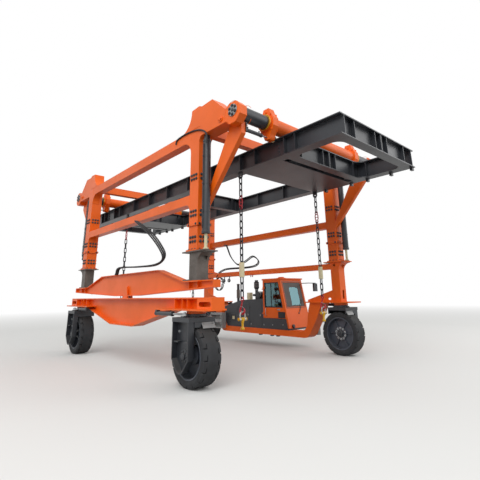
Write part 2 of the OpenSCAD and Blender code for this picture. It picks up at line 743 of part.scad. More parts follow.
// Shackles: a bow across the hook's plate and a headed pin along Y
module shackles() {
    inner = bow_r - bow_t;
    sag = bowl_r - sqrt(bowl_r ^ 2 - bow_t ^ 2 / 4) + inner - sqrt(inner ^ 2 - hook_t ^ 2 / 4);
    color(steel) at_chains() {
        translate([-bow_t / 2, 0, bow_z + sag + 3 * seat_gap]) rotate([90, 0, 90]) linear_extrude(bow_t)
            polygon(concat([[bow_r, pin_z - bow_z - 28]], arc([0, 0], bow_r, 0, 180, 14),
                [[-bow_r, pin_z - bow_z - 28], [-inner, pin_z - bow_z - 28]], arc([0, 0], inner, 180, 0, 14),
                [[inner, pin_z - bow_z - 28]]));
        rod_y(0, -bow_r - 15, pin_z, pin_r, 2 * bow_r + 30);
        for (y = [-bow_r - 14, inner - 1]) rod_y(0, y, pin_z, 31, bow_t + 15);
    }
}
// Container lugs on the shackles' pins, with a turned foot
module corner_lugs() {
    low = pin_z - 210;
    color(yellow) at_chains() difference() {
        union() {
            wall_xz(-38, 76) polygon(concat([[-30, low + 35], [30, low + 35], [30, pin_z - 40]],
                arc([0, pin_z], 36, -30, 210, 12), [[-30, pin_z - 40]]));
            block([-46, -32, low], [92, 64, 38]);
        }
        rod_y(0, -39, pin_z, pin_r + seat_gap, 78);
    }
}
// Sleeves that keep the chain off the load
sleeve_top_z = hook_top + 739;
module chain_sleeves() {
    color(cream) at_chains() translate([0, 0, sleeve_top_z - 311]) difference() {
        cylinder(r = link_w / 2 + 9.4, h = 311);
        translate([0, 0, -1]) cylinder(r = norm([link_w, link_t]) / 2 + seat_gap, h = 313);
    }
}

// Right side: lower beam with a belly, rocker beam on its pivot
pivot_z = lower_beam_z + 202;
pivot_r = 60;
beam_tip = deck_right_front;
rocker_tip = 655;
cheek_y = [-75, 45];
cheek_t = 30;
module right_lower_beam() {
    z0 = deck_z - deck_t;
    x1 = axle_x + beam_tip;
    knee = [axle_x - 1150, belly_z + 290];
    outline = [[-x1, z0], [610 - axle_x, z0], [-knee[0], knee[1]], [-640, belly_z], [640, belly_z], knee,
        [axle_x - 610, z0], [x1, z0], [x1, lower_beam_z], [-x1, lower_beam_z]];
    slot_x = axle_x + 470;
    slot_z = (z0 + lower_beam_z) / 2 - 5;
    color(orange) {
        difference() {
            union() {
                wall_xz(-axle_y - 150, 300) band(outline, 25);
                wall_xz(-axle_y - 20, 40) polygon(outline);
                for (e = ends, x = [axle_x + 240, axle_x + 660])
                    block([e * x - 8, -axle_y - 148, z0 + 20], [16, 296, lower_beam_z - z0 - 40]);
                for (e = ends) mirror([e < 0 ? 1 : 0, 0, 0])
                    block([axle_x + 240, -axle_y - 148, z0 + 20], [420, 12, lower_beam_z - z0 - 40]);
            }
            for (e = ends, x = [slot_x - 145, slot_x + 145]) rod_y(e * x, -axle_y - 151, slot_z, 44, 20);
            for (e = ends) block([e * slot_x - 145, -axle_y - 151, slot_z - 44], [290, 20, 88]);
        }
        for (e = ends, x = [axle_x - 586, axle_x - 304, axle_x - 124])
            block([e * x - 8, -axle_y - 140, z0 + 20], [16, 280, lower_beam_z - z0 - 40]);
        for (e = ends) at_corner(e, -1, axle_x, axle_y) deck(-200, 500, deck_right_front);
        for (y = cheek_y) wall_xz(y - axle_y, cheek_t)
            polygon([[-140, lower_beam_z - weld], [140, lower_beam_z - weld],
                [80, pivot_z + 70], [-80, pivot_z + 70]]);
        rod_y(0, cheek_y[0] - axle_y, pivot_z, pivot_r, cheek_y[1] + cheek_t - cheek_y[0]);
    }
}
module right_rocker_beam() {
    x1 = column_x + rocker_tip;
    flat_x = column_x - 360;
    low = pivot_z - 150;
    outline = [[-x1, low + 131], [-column_x - 110, low + 107], [-600, low], [600, low],
        [column_x + 110, low + 107], [x1, low + 131], [x1, rocker_end_z], [flat_x, rocker_end_z],
        [1650, rocker_mid_z], [-1650, rocker_mid_z], [-flat_x, rocker_end_z], [-x1, rocker_end_z]];
    plate_l = seat_in + 240;
    color(orange) {
        difference() {
            union() {
                wall_xz(-axle_y - 85, 170) band(outline, 22);
                wall_xz(-axle_y - 20, 40) polygon(outline);
                rod_y(0, -axle_y - 40, pivot_z, pivot_r + 50, 80);
                for (e = ends, x = [column_x - 180, column_x + 120])
                    block([e * x - 8, -axle_y - 80, low + 110], [16, 160, rocker_end_z - low - 120]);
            }
            rod_y(0, -axle_y - 100, pivot_z, pivot_r + seat_gap, 200);
            for (y = [-90, 40]) block([-160, y - axle_y, low - 1], [320, 50, 30]);
        }
        for (e = ends) at_corner(e, -1, column_x, column_y)
            block([-seat_in, -180, rocker_end_z - seat_t], [plate_l, 360, seat_t]);
    }
}

// Cab: a hollow shell with its windows cut
cab_y = sill_y + 5;
function front_x(z) =
    cab_x + cab_l + (cab_roof_l - cab_l) * (z - cab_floor_z) / (cab_roof_z - cab_floor_z);
cab_side = [[cab_x, cab_floor_z], [cab_x + cab_l, cab_floor_z],
    [cab_x + cab_roof_l, cab_roof_z], [cab_x, cab_roof_z]];
door_low = cab_floor_z + 290;
door_high = cab_roof_z - 45;
door_x0 = cab_x + 30;
hinge_y = cab_y - 20;
window_low = cab_floor_z + 630;
window_high = cab_roof_z - 95;
pillar = 75;
back_window_low = cab_roof_z - 530;
back_window_h = 400;
window_in = 90;
// A side outline from x0 to the front pillar, between two heights, c inside its lines
function pane(x0, low, high, front, c) = [[x0 + c, low + c], [front_x(low + c) - front - c, low + c],
    [front_x(high - c) - front - c, high - c], [x0 + c, high - c]];
function door_line(c) = pane(door_x0, door_low, door_high, pillar, c);
function door_pane(c) = pane(door_x0 + 55, window_low, window_high, pillar + 55, c);
function side_pane(c) = pane(cab_x + 110, window_low, window_high, pillar + 55, c);
module door_hinges(part) {
    for (z = [door_low + 150, door_high - 230]) translate([door_x0, hinge_y, z]) {
        if (part == "door") difference() {
            union() {
                cylinder(r = 16, h = 60);
                block([6, 0, 0], [60, 20 + weld, 60]);
            }
            translate([0, 0, -1]) cylinder(r = 9 + seat_gap, h = 62);
        }
        if (part == "frame") {
            translate([0, 0, -30]) cylinder(r = 9, h = 92);
            translate([0, 0, -30]) cylinder(r = 16, h = 30 - seat_gap);
            block([-66, 0, -30], [60, 20 + weld, 30 - seat_gap]);
        }
    }
}
module cab_frame() {
    color(orange) door_hinges("frame");
    color(orange) difference() {
        wall_xz(cab_y, cab_w) polygon(cab_side);
        wall_xz(cab_y + cab_wall, cab_w - 2 * cab_wall) polygon(inset(cab_side, cab_wall));
        wall_xz(cab_y - 1, cab_wall + 2) polygon(door_line(0));
        wall_xz(cab_y + cab_w - cab_wall - 1, cab_wall + 2) polygon(side_pane(0));
        block([front_x(window_high) - 100, cab_y + window_in, window_low],
            [400, cab_w - 2 * window_in, window_high - window_low]);
        block([cab_x - 1, cab_y + 120, back_window_low], [cab_wall + 2, cab_w - 240, back_window_h]);
    }
}
module cab_roof() {
    color(orange) block([cab_x - 20, cab_y - 20, cab_roof_z + seat_gap], [cab_roof_l + 60, cab_w + 40, 45]);
    color(black) translate([cab_x + 380, cab_y + cab_w / 2, cab_roof_z + seat_gap + 45 - weld]) {
        cylinder(r = 160, h = 30);
        cylinder(r1 = 150, r2 = 90, h = 62);
    }
}
module cab_glass() {
    low = window_low + seat_gap;
    high = window_high - seat_gap;
    color(glass, 0.4) {
        wall_xz(cab_y + window_in + seat_gap, cab_w - 2 * window_in - 2 * seat_gap)
            polygon([[front_x(low) - 26, low], [front_x(low) - 18, low],
                [front_x(high) - 18, high], [front_x(high) - 26, high]]);
        wall_xz(cab_y + cab_w - 24, 8) polygon(side_pane(seat_gap));
        block([cab_x + 16, cab_y + 120 + seat_gap, back_window_low + seat_gap],
            [8, cab_w - 240 - 2 * seat_gap, back_window_h - 2 * seat_gap]);
    }
}
module cab_door() {
    color(orange) door_hinges("door");
    color(orange) difference() {
        wall_xz(cab_y, cab_wall) polygon(door_line(6));
        wall_xz(cab_y - 1, cab_wall + 2) polygon(door_pane(0));
    }
}
module cab_door_glass() {
    color(glass, 0.4) wall_xz(cab_y + 16, 8) polygon(door_pane(seat_gap));
}
module cab_seat() {
    floor_z = cab_floor_z + cab_wall + seat_gap;
    y = cab_y + cab_w / 2;
    color(dark_grey) {
        block([cab_x + 160, y - 180, floor_z], [320, 360, 330]);
        block([cab_x + 110, y - 250, floor_z + 330 - weld], [500, 500, 120]);
        block([cab_x + 60, y - 230, floor_z + 448 - weld], [110, 460, 560]);
        block([cab_x + 720, y - 60, floor_z], [120, 120, 560]);
    }
}

// Engine hood with its engine block, and the black skirt under the cab
hood_x0 = -1883;
hood_x1 = -935;
hood_y = sill_y + 10;
hood_w = 960;
hood_low_z = 1217;
hood_mid_z = 1443;
hood_high_z = 1481;
hood_wall = 30;
module engine_hood() {
    z0 = sill_top + seat_gap;
    x1 = cab_x - seat_gap;
    outline = [[hood_x0 + 183, z0], [x1, z0], [x1, hood_high_z], [hood_x1, hood_mid_z],
        [hood_x0, hood_low_z], [hood_x0, z0 + 260]];
    color(black) {
        difference() {
            wall_xz(hood_y, hood_w) polygon(outline);
            wall_xz(hood_y + hood_wall, hood_w - 2 * hood_wall) polygon(inset(outline, hood_wall));
            for (i = [0 : 3]) block([-1640, hood_y - 1, 720 + 60 * i], [330, hood_wall - 10, 24]);
        }
        block([x1 - weld, hood_y, z0], [cab_l - 10, hood_w + 60, cab_floor_z - z0 - seat_gap]);
        wall_xz(sill_y - 9, 14 - seat_gap) polygon([[x1 - 30, z0 + 10], [front_x(z0) - 60, z0 + 10],
            [front_x(door_low - 8) - 60, door_low - 8], [x1 - 30, door_low - 8]]);
        block([x1 - 40, sill_y - 9, z0 + 10], [40, hood_y - sill_y + 12, door_low - z0 - 18]);
    }
}
module engine_block() {
    z0 = sill_top + hood_wall + 2 * seat_gap;
    color(dark_steel) block([-1500, hood_y + 200, z0], [1300, 560, 700]);
}
// Height of the hood's top at a place along the machine
function hood_z(x) = x < hood_x1
    ? hood_low_z + (hood_mid_z - hood_low_z) * (x - hood_x0) / (hood_x1 - hood_x0)
    : hood_mid_z + (hood_high_z - hood_mid_z) * (x - hood_x1) / (cab_x - seat_gap - hood_x1);
module air_cleaner() {
    z = hood_high_z + 4;
    slope = (hood_mid_z - hood_low_z) / (hood_x1 - hood_x0);
    pipe_x = -1450;
    pipe_z = hood_z(pipe_x) + 2 * seat_gap;
    intake_x = -450;
    intake_r = 55;
    intake_z = hood_z(intake_x + intake_r) + seat_gap;
    filter_x = -285;
    filter_l = 120;
    filter_z = hood_z(filter_x + filter_l) + seat_gap;
    color(black) translate([intake_x, hood_y + 300, intake_z]) {
        cylinder(r = intake_r, h = 330);
        translate([0, 0, 328]) cylinder(r1 = 60, r2 = 92, h = 62);
        translate([0, 0, 388]) cylinder(r = 92, h = 200);
        translate([0, 0, 586]) cylinder(r = 60, h = 66);
        translate([0, -160, 140]) rotate([-90, 0, 0]) cylinder(r = 40, h = 150);
    }
    color(black) {
        rod_y(filter_x + filter_l / 2, hood_y + 120, z + 130, 108, 330);
        block([filter_x, hood_y + 160, filter_z], [filter_l, 240, 70]);
        rod_x(intake_x + 10, hood_y + 300, z + 130, 40, 150);
    }
    color(steel) {
        translate([pipe_x, hood_y + 300, pipe_z + 20]) cylinder(r = 50, h = 1985 - pipe_z - 20);
        wall_xz(hood_y + 230, 140)
            polygon([[pipe_x - 70, pipe_z - 70 * slope], [pipe_x + 70, pipe_z + 70 * slope],
                [pipe_x + 70, pipe_z + 40], [pipe_x - 70, pipe_z + 40]]);
    }
}
// Steps: a box with two treads let into its face
step_x = -bend_x - 633;
step_l = 690;
step_d = 190;
step_z = 454;
module step_box() {
    color(steel) difference() {
        block([step_x, sill_y - step_d, step_z], [step_l, step_d - seat_gap, 540]);
        for (z = [step_z + 50, step_z + 310])
            block([step_x + 30, sill_y - step_d - 1, z], [step_l - 60, step_d - 20, 150]);
    }
}
module oil_canisters() {
    y = sill_y + sill_w + seat_gap;
    color(steel) translate([2120, y + 110, 790]) cylinder(r = 110, h = 440);
    color(red) translate([2040, y + 80, 430]) cylinder(r = 80, h = 340);
}
module side_mirror() {
    z = cab_roof_z - 130;
    y = cab_y + cab_w + seat_gap;
    x1 = cab_x + cab_l;
    color(black) {
        block([front_x(z) - 120, y, z], [x1 - front_x(z) + 120, 24, 24]);
        block([x1 - 24, y, z], [24, 400, 24]);
        block([x1 - 45, y + 280, z - 260], [60, 180, 262]);
    }
}

module fork_front_left() { corner_fork(1, 1); }
module fork_rear_left() { corner_fork(-1, 1); }
module fork_front_right() { corner_fork(1, -1); }
module fork_rear_right() { corner_fork(-1, -1); }
module tyre_front_left() { corner_tyre(1, 1); }
module tyre_rear_left() { corner_tyre(-1, 1); }
module tyre_front_right() { corner_tyre(1, -1); }
module tyre_rear_right() { corner_tyre(-1, -1); }
module rim_front_left() { corner_rim(1, 1); }
module rim_rear_left() { corner_rim(-1, 1); }
module rim_front_right() { corner_rim(1, -1); }
module rim_rear_right() { corner_rim(-1, -1); }
module steer_rod_front_left() { corner_steer_rod(1, 1); }
module steer_rod_rear_left() { corner_steer_rod(-1, 1); }
module steer_rod_front_right() { corner_steer_rod(1, -1); }
module steer_rod_rear_right() { corner_steer_rod(-1, -1); }

left_side_frame();
left_pedestals();
left_tie_beam();
left_masts();
left_lift_rods();
left_steer_barrels();
cab_frame();
cab_roof();
cab_glass();
cab_seat();
engine_hood();
engine_block();
air_cleaner();
step_box();
oil_canisters();
side_mirror();
cab_door();
cab_door_glass();
outer_tubes();
top_beams();
mid_beams();
column_heads();
cross_beams();
guide_bars();
head_braces();
lift_barrels();
shift_barrels();
shift_sleeves();
load_girders();
load_cross_beams();
load_hangers();
shift_rods();
lift_chains();
chain_hooks();
corner_lugs();
chain_sleeves();
shackles();
right_lower_beam();
right_rocker_beam();
right_pedestals();
right_masts();
right_lift_rods();
right_steer_barrels();
fork_front_left();
fork_rear_left();
fork_front_right();
fork_rear_right();
tyre_front_left();
tyre_rear_left();
tyre_front_right();
tyre_rear_right();
rim_front_left();
rim_rear_left();
rim_front_right();
rim_rear_right();
steer_rod_front_left();
steer_rod_rear_left();
steer_rod_front_right();
steer_rod_rear_right();
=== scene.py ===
"""Finishes, hoses, bolts, chains and tyres of a four-wheel straddle carrier, laid out as an add-on."""

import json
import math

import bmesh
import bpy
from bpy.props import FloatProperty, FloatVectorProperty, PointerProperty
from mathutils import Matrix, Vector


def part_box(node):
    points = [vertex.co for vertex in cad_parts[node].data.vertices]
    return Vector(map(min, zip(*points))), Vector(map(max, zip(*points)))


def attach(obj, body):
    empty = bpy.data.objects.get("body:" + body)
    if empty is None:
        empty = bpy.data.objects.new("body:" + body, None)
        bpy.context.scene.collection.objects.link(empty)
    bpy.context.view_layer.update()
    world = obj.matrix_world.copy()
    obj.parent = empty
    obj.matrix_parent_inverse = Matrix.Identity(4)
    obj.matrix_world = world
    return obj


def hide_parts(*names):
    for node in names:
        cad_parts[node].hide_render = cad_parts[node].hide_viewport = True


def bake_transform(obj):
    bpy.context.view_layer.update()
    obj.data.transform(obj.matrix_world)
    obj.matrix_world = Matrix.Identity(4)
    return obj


bl_info = {
    "name": "Straddle Carrier Looks",
    "version": (1, 0, 0),
    "blender": (4, 5, 0),
    "location": "View3D > Sidebar > Carrier",
    "description": "Dresses the packed straddle carrier with its finishes and fittings",
    "category": "Object",
}

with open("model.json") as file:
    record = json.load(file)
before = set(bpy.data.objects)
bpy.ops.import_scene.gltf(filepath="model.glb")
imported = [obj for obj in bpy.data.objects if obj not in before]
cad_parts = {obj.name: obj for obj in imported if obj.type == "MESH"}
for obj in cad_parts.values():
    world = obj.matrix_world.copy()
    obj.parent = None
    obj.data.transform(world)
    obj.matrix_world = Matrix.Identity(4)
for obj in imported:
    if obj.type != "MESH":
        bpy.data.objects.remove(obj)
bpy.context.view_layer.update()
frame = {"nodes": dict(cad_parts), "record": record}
NODES = frame["nodes"]
MM = 0.001


def middle(name):
    """The middle of a node's box."""
    low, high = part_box(name)
    return (low + high) / 2


# Metres, with X forward, Y to the left and Z up. A fitting of the four corners is drawn at the front left
# one and mirrored to the others: 1 is in front or on the left, -1 behind or on the right
CORNERS = {"front_left": (1, 1), "rear_left": (-1, 1), "front_right": (1, -1), "rear_right": (-1, -1)}
AHEAD, LEFT, RIGHT, UP, DOWN = (1, 0, 0), (0, 1, 0), (0, -1, 0), (0, 0, 1), (0, 0, -1)
WHEEL_R, TUBE_HALF, GUIDE_BAR_R = 0.560, 0.1575, 0.150
AXLE_X, AXLE_Y = middle("tyre_front_left").xy
OUTER_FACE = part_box("column_heads")[1].y
COLUMN_X, COLUMN_Y = AXLE_X, OUTER_FACE - TUBE_HALF
INNER_FACE = COLUMN_Y - TUBE_HALF
PORTAL_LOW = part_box("outer_tubes")[0].z
CROSS_X, CROSS_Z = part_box("guide_bars")[1].x - GUIDE_BAR_R, middle("guide_bars").z
FRAME_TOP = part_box("load_girders")[1].z


def linear(text):
    """Turns an sRGB hex colour into linear red, green and blue."""
    channels = [int(text[i:i + 2], 16) / 255 for i in (1, 3, 5)]
    return tuple(c / 12.92 if c <= 0.04045 else ((c + 0.055) / 1.055) ** 2.4 for c in channels)


def rgba(colour):
    """A colour with full alpha, as shader sockets take it."""
    return (*colour[:3], 1.0)


class CarrierSizes(bpy.types.PropertyGroup):
    """Sizes of the fittings that dress the machine."""

    nut_across: FloatProperty(
        name="Wheel Nut", description="Distance across the flats of a wheel nut",
        default=0.034, min=0.02, max=0.05, unit="LENGTH")
    pin_across: FloatProperty(
        name="Rod Pin", description="Distance across the flats of a steering rod's pin",
        default=0.036, min=0.02, max=0.06, unit="LENGTH")
    chain_wire: FloatProperty(
        name="Chain Wire", description="Radius of the wire of a chain link",
        default=0.014, min=0.008, max=0.02, unit="LENGTH")
    hose_radius: FloatProperty(
        name="Hose Radius", description="Radius of a hydraulic hose",
        default=0.018, min=0.006, max=0.04, unit="LENGTH")
    floor_radius: FloatProperty(
        name="Floor Radius", description="Radius of the floor disc",
        default=90.0, min=20.0, max=200.0, unit="LENGTH")


class CarrierColours(bpy.types.PropertyGroup):
    """Colours of the machine's finishes, in linear light."""

    orange: FloatVectorProperty(
        name="Orange", description="Enamel of the frames and the cab",
        default=linear("#F26710"), size=3, min=0.0, max=1.0, subtype="COLOR")
    black: FloatVectorProperty(
        name="Black", description="Enamel of the load frame, forks and hood",
        default=linear("#2A2D33"), size=3, min=0.0, max=1.0, subtype="COLOR")
    floor: FloatVectorProperty(
        name="Floor", description="Colour of the studio floor",
        default=linear("#DCDCDA"), size=3, min=0.0, max=1.0, subtype="COLOR")


def add_node(tree, kind, settings=None, links=None):
    """Adds one node. Keys are socket names, socket numbers or the node's own attributes."""
    node = tree.nodes.new(kind)
    for key, value in (settings or {}).items():
        if isinstance(key, int) or key in node.inputs:
            node.inputs[key].default_value = value
        else:
            setattr(node, key, value)
    for key, source in (links or {}).items():
        tree.links.new(source, node.inputs[key])
    return node


def new_material(name):
    """An empty node material, and its tree to fill."""
    material = bpy.data.materials.new(name)
    material.use_nodes = True
    material.node_tree.nodes.clear()
    return material, material.node_tree


def finish_coat(name, colour, rough, tone=0.85, tone_mm=900, grain_mm=6, grain_depth=0.0004,
                film="#B9B2A8", dust_and_sheen_amount=0.12, edge_mm=5, **shader):
    """A weathered finish: a slow change of tone, a fine grain, a lighter film on top faces that is partly
    dust and partly a painted sheen of the sky, soft edges.

    Real grain is finer than a millimetre, so it is drawn a few millimetres wide to show at all.
    """
    material, tree = new_material(name)
    place = add_node(tree, "ShaderNodeTexCoord")
    broad = add_node(tree, "ShaderNodeTexNoise", {"Scale": 1000 / tone_mm, "Detail": 5.0, "Roughness": 0.62},
                     {"Vector": place.outputs["Object"]})
    spread = add_node(tree, "ShaderNodeMapRange", {"From Min": 0.35, "From Max": 0.7},
                      {"Value": broad.outputs["Fac"]})
    shaded = add_node(tree, "ShaderNodeMix",
                      {"data_type": "RGBA", 6: rgba(colour), 7: rgba([c * tone for c in colour])},
                      {0: spread.outputs["Result"]})
    # Faces turned up take the film colour: partly dust, partly a painted sheen that stands in for the sky
    # mirrored on top faces
    normal = add_node(tree, "ShaderNodeNewGeometry")
    up = add_node(tree, "ShaderNodeSeparateXYZ", None, {"Vector": normal.outputs["Normal"]})
    top_dust_and_sheen = add_node(tree, "ShaderNodeMapRange",
                       {"From Min": 0.3, "From Max": 1.0, "To Max": dust_and_sheen_amount}, {"Value": up.outputs["Z"]})
    patch = add_node(tree, "ShaderNodeMath", {"operation": "MULTIPLY"},
                     {0: top_dust_and_sheen.outputs["Result"], 1: broad.outputs["Fac"]})
    with_dust_and_sheen = add_node(tree, "ShaderNodeMix", {"data_type": "RGBA", 7: rgba(linear(film))},
                     {0: patch.outputs[0], 6: shaded.outputs[2]})
    fine = add_node(tree, "ShaderNodeTexNoise", {"Scale": 1000 / grain_mm, "Detail": 3.0},
                    {"Vector": place.outputs["Object"]})
    gloss = add_node(tree, "ShaderNodeMapRange",
                     {"To Min": max(0.04, rough - 0.1), "To Max": rough + 0.12},
                     {"Value": broad.outputs["Fac"]})
    edges = add_node(tree, "ShaderNodeBevel", {"samples": 4, "Radius": edge_mm * MM})
    relief = add_node(tree, "ShaderNodeBump", {"Distance": grain_depth, "Strength": 0.5},
                      {"Height": fine.outputs["Fac"], "Normal": edges.outputs["Normal"]})
    shade = add_node(tree, "ShaderNodeBsdfPrincipled", shader,
                     {"Base Color": with_dust_and_sheen.outputs[2], "Roughness": gloss.outputs["Result"],
                      "Normal": relief.outputs["Normal"]})
    add_node(tree, "ShaderNodeOutputMaterial", None, {"Surface": shade.outputs["BSDF"]})
    return material


def orange_enamel():
    """Two-pack enamel sprayed over welded plate: glossy, and it mirrors the sky at a low angle."""
    return finish_coat("orange_sprayed_enamel", bpy.context.scene.carrier_colours.orange, 0.42, tone=0.86,
                       grain_mm=9, dust_and_sheen_amount=0.04,
                       **{"Specular IOR Level": 0.3, "Coat Weight": 0.08, "Coat Roughness": 0.15})


def black_enamel():
    """Charcoal chassis enamel, half matt, that shows a blue-grey sheen under the sky."""
    return finish_coat("black_chassis_enamel", bpy.context.scene.carrier_colours.black, 0.42, tone=0.7,
                       grain_mm=7, dust_and_sheen_amount=0.25, IOR=1.5,
                       **{"Coat Weight": 0.2, "Coat Roughness": 0.3})


def plain_enamel(name, text, rough):
    """Brushed enamel of a small fitting: an even colour with a soft shine and barely worn edges."""
    return finish_coat(name, linear(text), rough, tone=0.8, tone_mm=200, grain_mm=4, edge_mm=3, IOR=1.5)


def cream_enamel():
    """Cream enamel of the lift rods and ferrules, aged to a warm straw tone."""
    return plain_enamel("cream_enamel", "#D9CFA8", 0.35)


def red_enamel():
    """Signal red stove enamel of the lifting gear, deep enough to read as red in shade."""
    return plain_enamel("red_enamel", "#B81C2C", 0.35)


def yellow_enamel():
    """Safety yellow enamel of the lugs, dulled by handling."""
    return plain_enamel("yellow_enamel", "#D9A614", 0.35)


def bronze_brown_enamel():
    """Dark bronze enamel of the windscreen's frame, warmer than the black round it."""
    return plain_enamel("bronze_brown_enamel", "#3D2D25", 0.4)


def slate_rim_enamel():
    """Slate grey enamel of the rims, a step lighter than the charcoal of the forks."""
    return plain_enamel("slate_rim_enamel", "#4A4F59", 0.4)


def mill_scale_steel():
    """Hot-rolled plate left bare: a brown-grey oxide skin with a dull metal shine."""
    return finish_coat("hot_rolled_steel", linear("#6E6660"), 0.5, tone=0.55, tone_mm=260, grain_mm=3,
                       grain_depth=0.0008, dust_and_sheen_amount=0.2, Metallic=0.55)


def ground_steel():
    """Machined and ground steel of rods and plates, bright with a soft lengthwise sheen."""
    return finish_coat("ground_steel", linear("#A9ACAE"), 0.28, tone=0.8, tone_mm=300, grain_mm=2,
                       dust_and_sheen_amount=0.1, Metallic=0.9)


def blackened_chain_steel():
    """Forged chain steel, blackened in oil: dark, with a worn gleam on its rounded links."""
    return finish_coat("blackened_chain_steel", linear("#33343A"), 0.42, tone=0.6, tone_mm=60, grain_mm=3,
                       edge_mm=2, Metallic=0.5)


def galvanised_steel():
    """Hot-dip galvanised steel: pale grey and lightly mottled, duller than ground steel."""
    return finish_coat("galvanised_steel", linear("#B9BBB8"), 0.36, tone=0.75, tone_mm=50, grain_mm=3,
                       edge_mm=2, Metallic=0.7)


def cast_bronze():
    """Cast and turned bronze of the wear rings, a warm gold with a satin shine."""
    return finish_coat("cast_bronze", linear("#C98F1E"), 0.38, tone=0.75, tone_mm=70, grain_mm=3,
                       edge_mm=2, Metallic=0.6)


def zinc_sheet():
    """Zinc-primed folded sheet of the steps and tanks, pale grey and almost matt."""
    return finish_coat("zinc_primed_sheet", linear("#9FA0A0"), 0.55, tone=0.85, tone_mm=300, Metallic=0.1)


def tyre_rubber():
    """Carbon-black tyre rubber, matt, with road dust in its grain."""
    return finish_coat("carbon_black_rubber", linear("#2B2C2F"), 0.78, tone=0.7, tone_mm=180, grain_mm=4,
                       grain_depth=0.0012, film="#6F6A62", dust_and_sheen_amount=0.35, edge_mm=6, IOR=1.52)


def seat_vinyl():
    """Black vinyl of the driver's seat, finely embossed, so that it shines only softly."""
    return finish_coat("embossed_vinyl", linear("#232427"), 0.55, tone=0.8, tone_mm=120, grain_mm=3,
                       grain_depth=0.001, IOR=1.5)


def safety_glass():
    """Sea-green laminated safety glass with a sun film: it mirrors the sky, most at a low angle."""
    # Wiping leaves seven smears to the metre, and the film mirrors this much even straight on
    smear_mm = 1000 / 7
    film_mirror = 0.31
    material, tree = new_material("tinted_safety_glass")
    place = add_node(tree, "ShaderNodeTexCoord")
    smear = add_node(tree, "ShaderNodeTexNoise", {"Scale": 1000 / smear_mm, "Detail": 3.0},
                     {"Vector": place.outputs["Object"]})
    haze = add_node(tree, "ShaderNodeMapRange", {"To Min": 0.01, "To Max": 0.06},
                    {"Value": smear.outputs["Fac"]})
    clear = add_node(tree, "ShaderNodeBsdfTransparent", {"Color": rgba(linear("#8DB3B8"))})
    mirror = add_node(tree, "ShaderNodeBsdfGlossy", {"Color": rgba(linear("#93BAC0"))},
                      {"Roughness": haze.outputs["Result"]})
    angle = add_node(tree, "ShaderNodeFresnel", {"IOR": 1.7})
    film = add_node(tree, "ShaderNodeMath", {"operation": "MAXIMUM", 1: film_mirror}, {0: angle.outputs[0]})
    mixed = add_node(tree, "ShaderNodeMixShader", None,
                     {0: film.outputs[0], 1: clear.outputs[0], 2: mirror.outputs[0]})
    add_node(tree, "ShaderNodeOutputMaterial", None, {"Surface": mixed.outputs[0]})
    return material


# The record's slots and the finishes of this script, each with the function that makes its material
MAKERS = {
    "orange_paint": orange_enamel,
    "black_paint": black_enamel,
    "cream_paint": cream_enamel,
    "red_paint": red_enamel,
    "yellow_paint": yellow_enamel,
    "silver_paint": zinc_sheet,
    "raw_steel": mill_scale_steel,
    "bright_steel": ground_steel,
    "tyre_rubber": tyre_rubber,
    "clear_glass": safety_glass,
    "seat_vinyl": seat_vinyl,
    "frame_enamel": bronze_brown_enamel,
    "rim_enamel": slate_rim_enamel,
    "chain_steel": blackened_chain_steel,
    "zinc_plate": galvanised_steel,
    "cast_bronze": cast_bronze,
}
MADE = {}


def finish(slot):
    """The material of a slot, made at its first use and shared after it."""
    if slot not in MADE:
        MADE[slot] = MAKERS[slot]()
    return MADE[slot]


def seen_rays(tree):
    """The kinds of rays, and 1 for those that come from the camera or from a mirror."""
    rays = add_node(tree, "ShaderNodeLightPath")
    seen = add_node(tree, "ShaderNodeMath", {"operation": "MAXIMUM"},
                    {0: rays.outputs["Is Camera Ray"], 1: rays.outputs["Is Glossy Ray"]})
    return rays, seen


def look_from(yaw, pitch, roll):
    """Right, up and forward of a camera, from its angles in radians."""
    forward = Vector((math.cos(yaw) * math.cos(pitch), math.sin(yaw) * math.cos(pitch), math.sin(pitch)))
    right = Vector((math.sin(yaw), -math.cos(yaw), 0))
    up = right.cross(forward)
    c, s = math.cos(roll), math.sin(roll)
    return c * right + s * up, c * up - s * right, forward


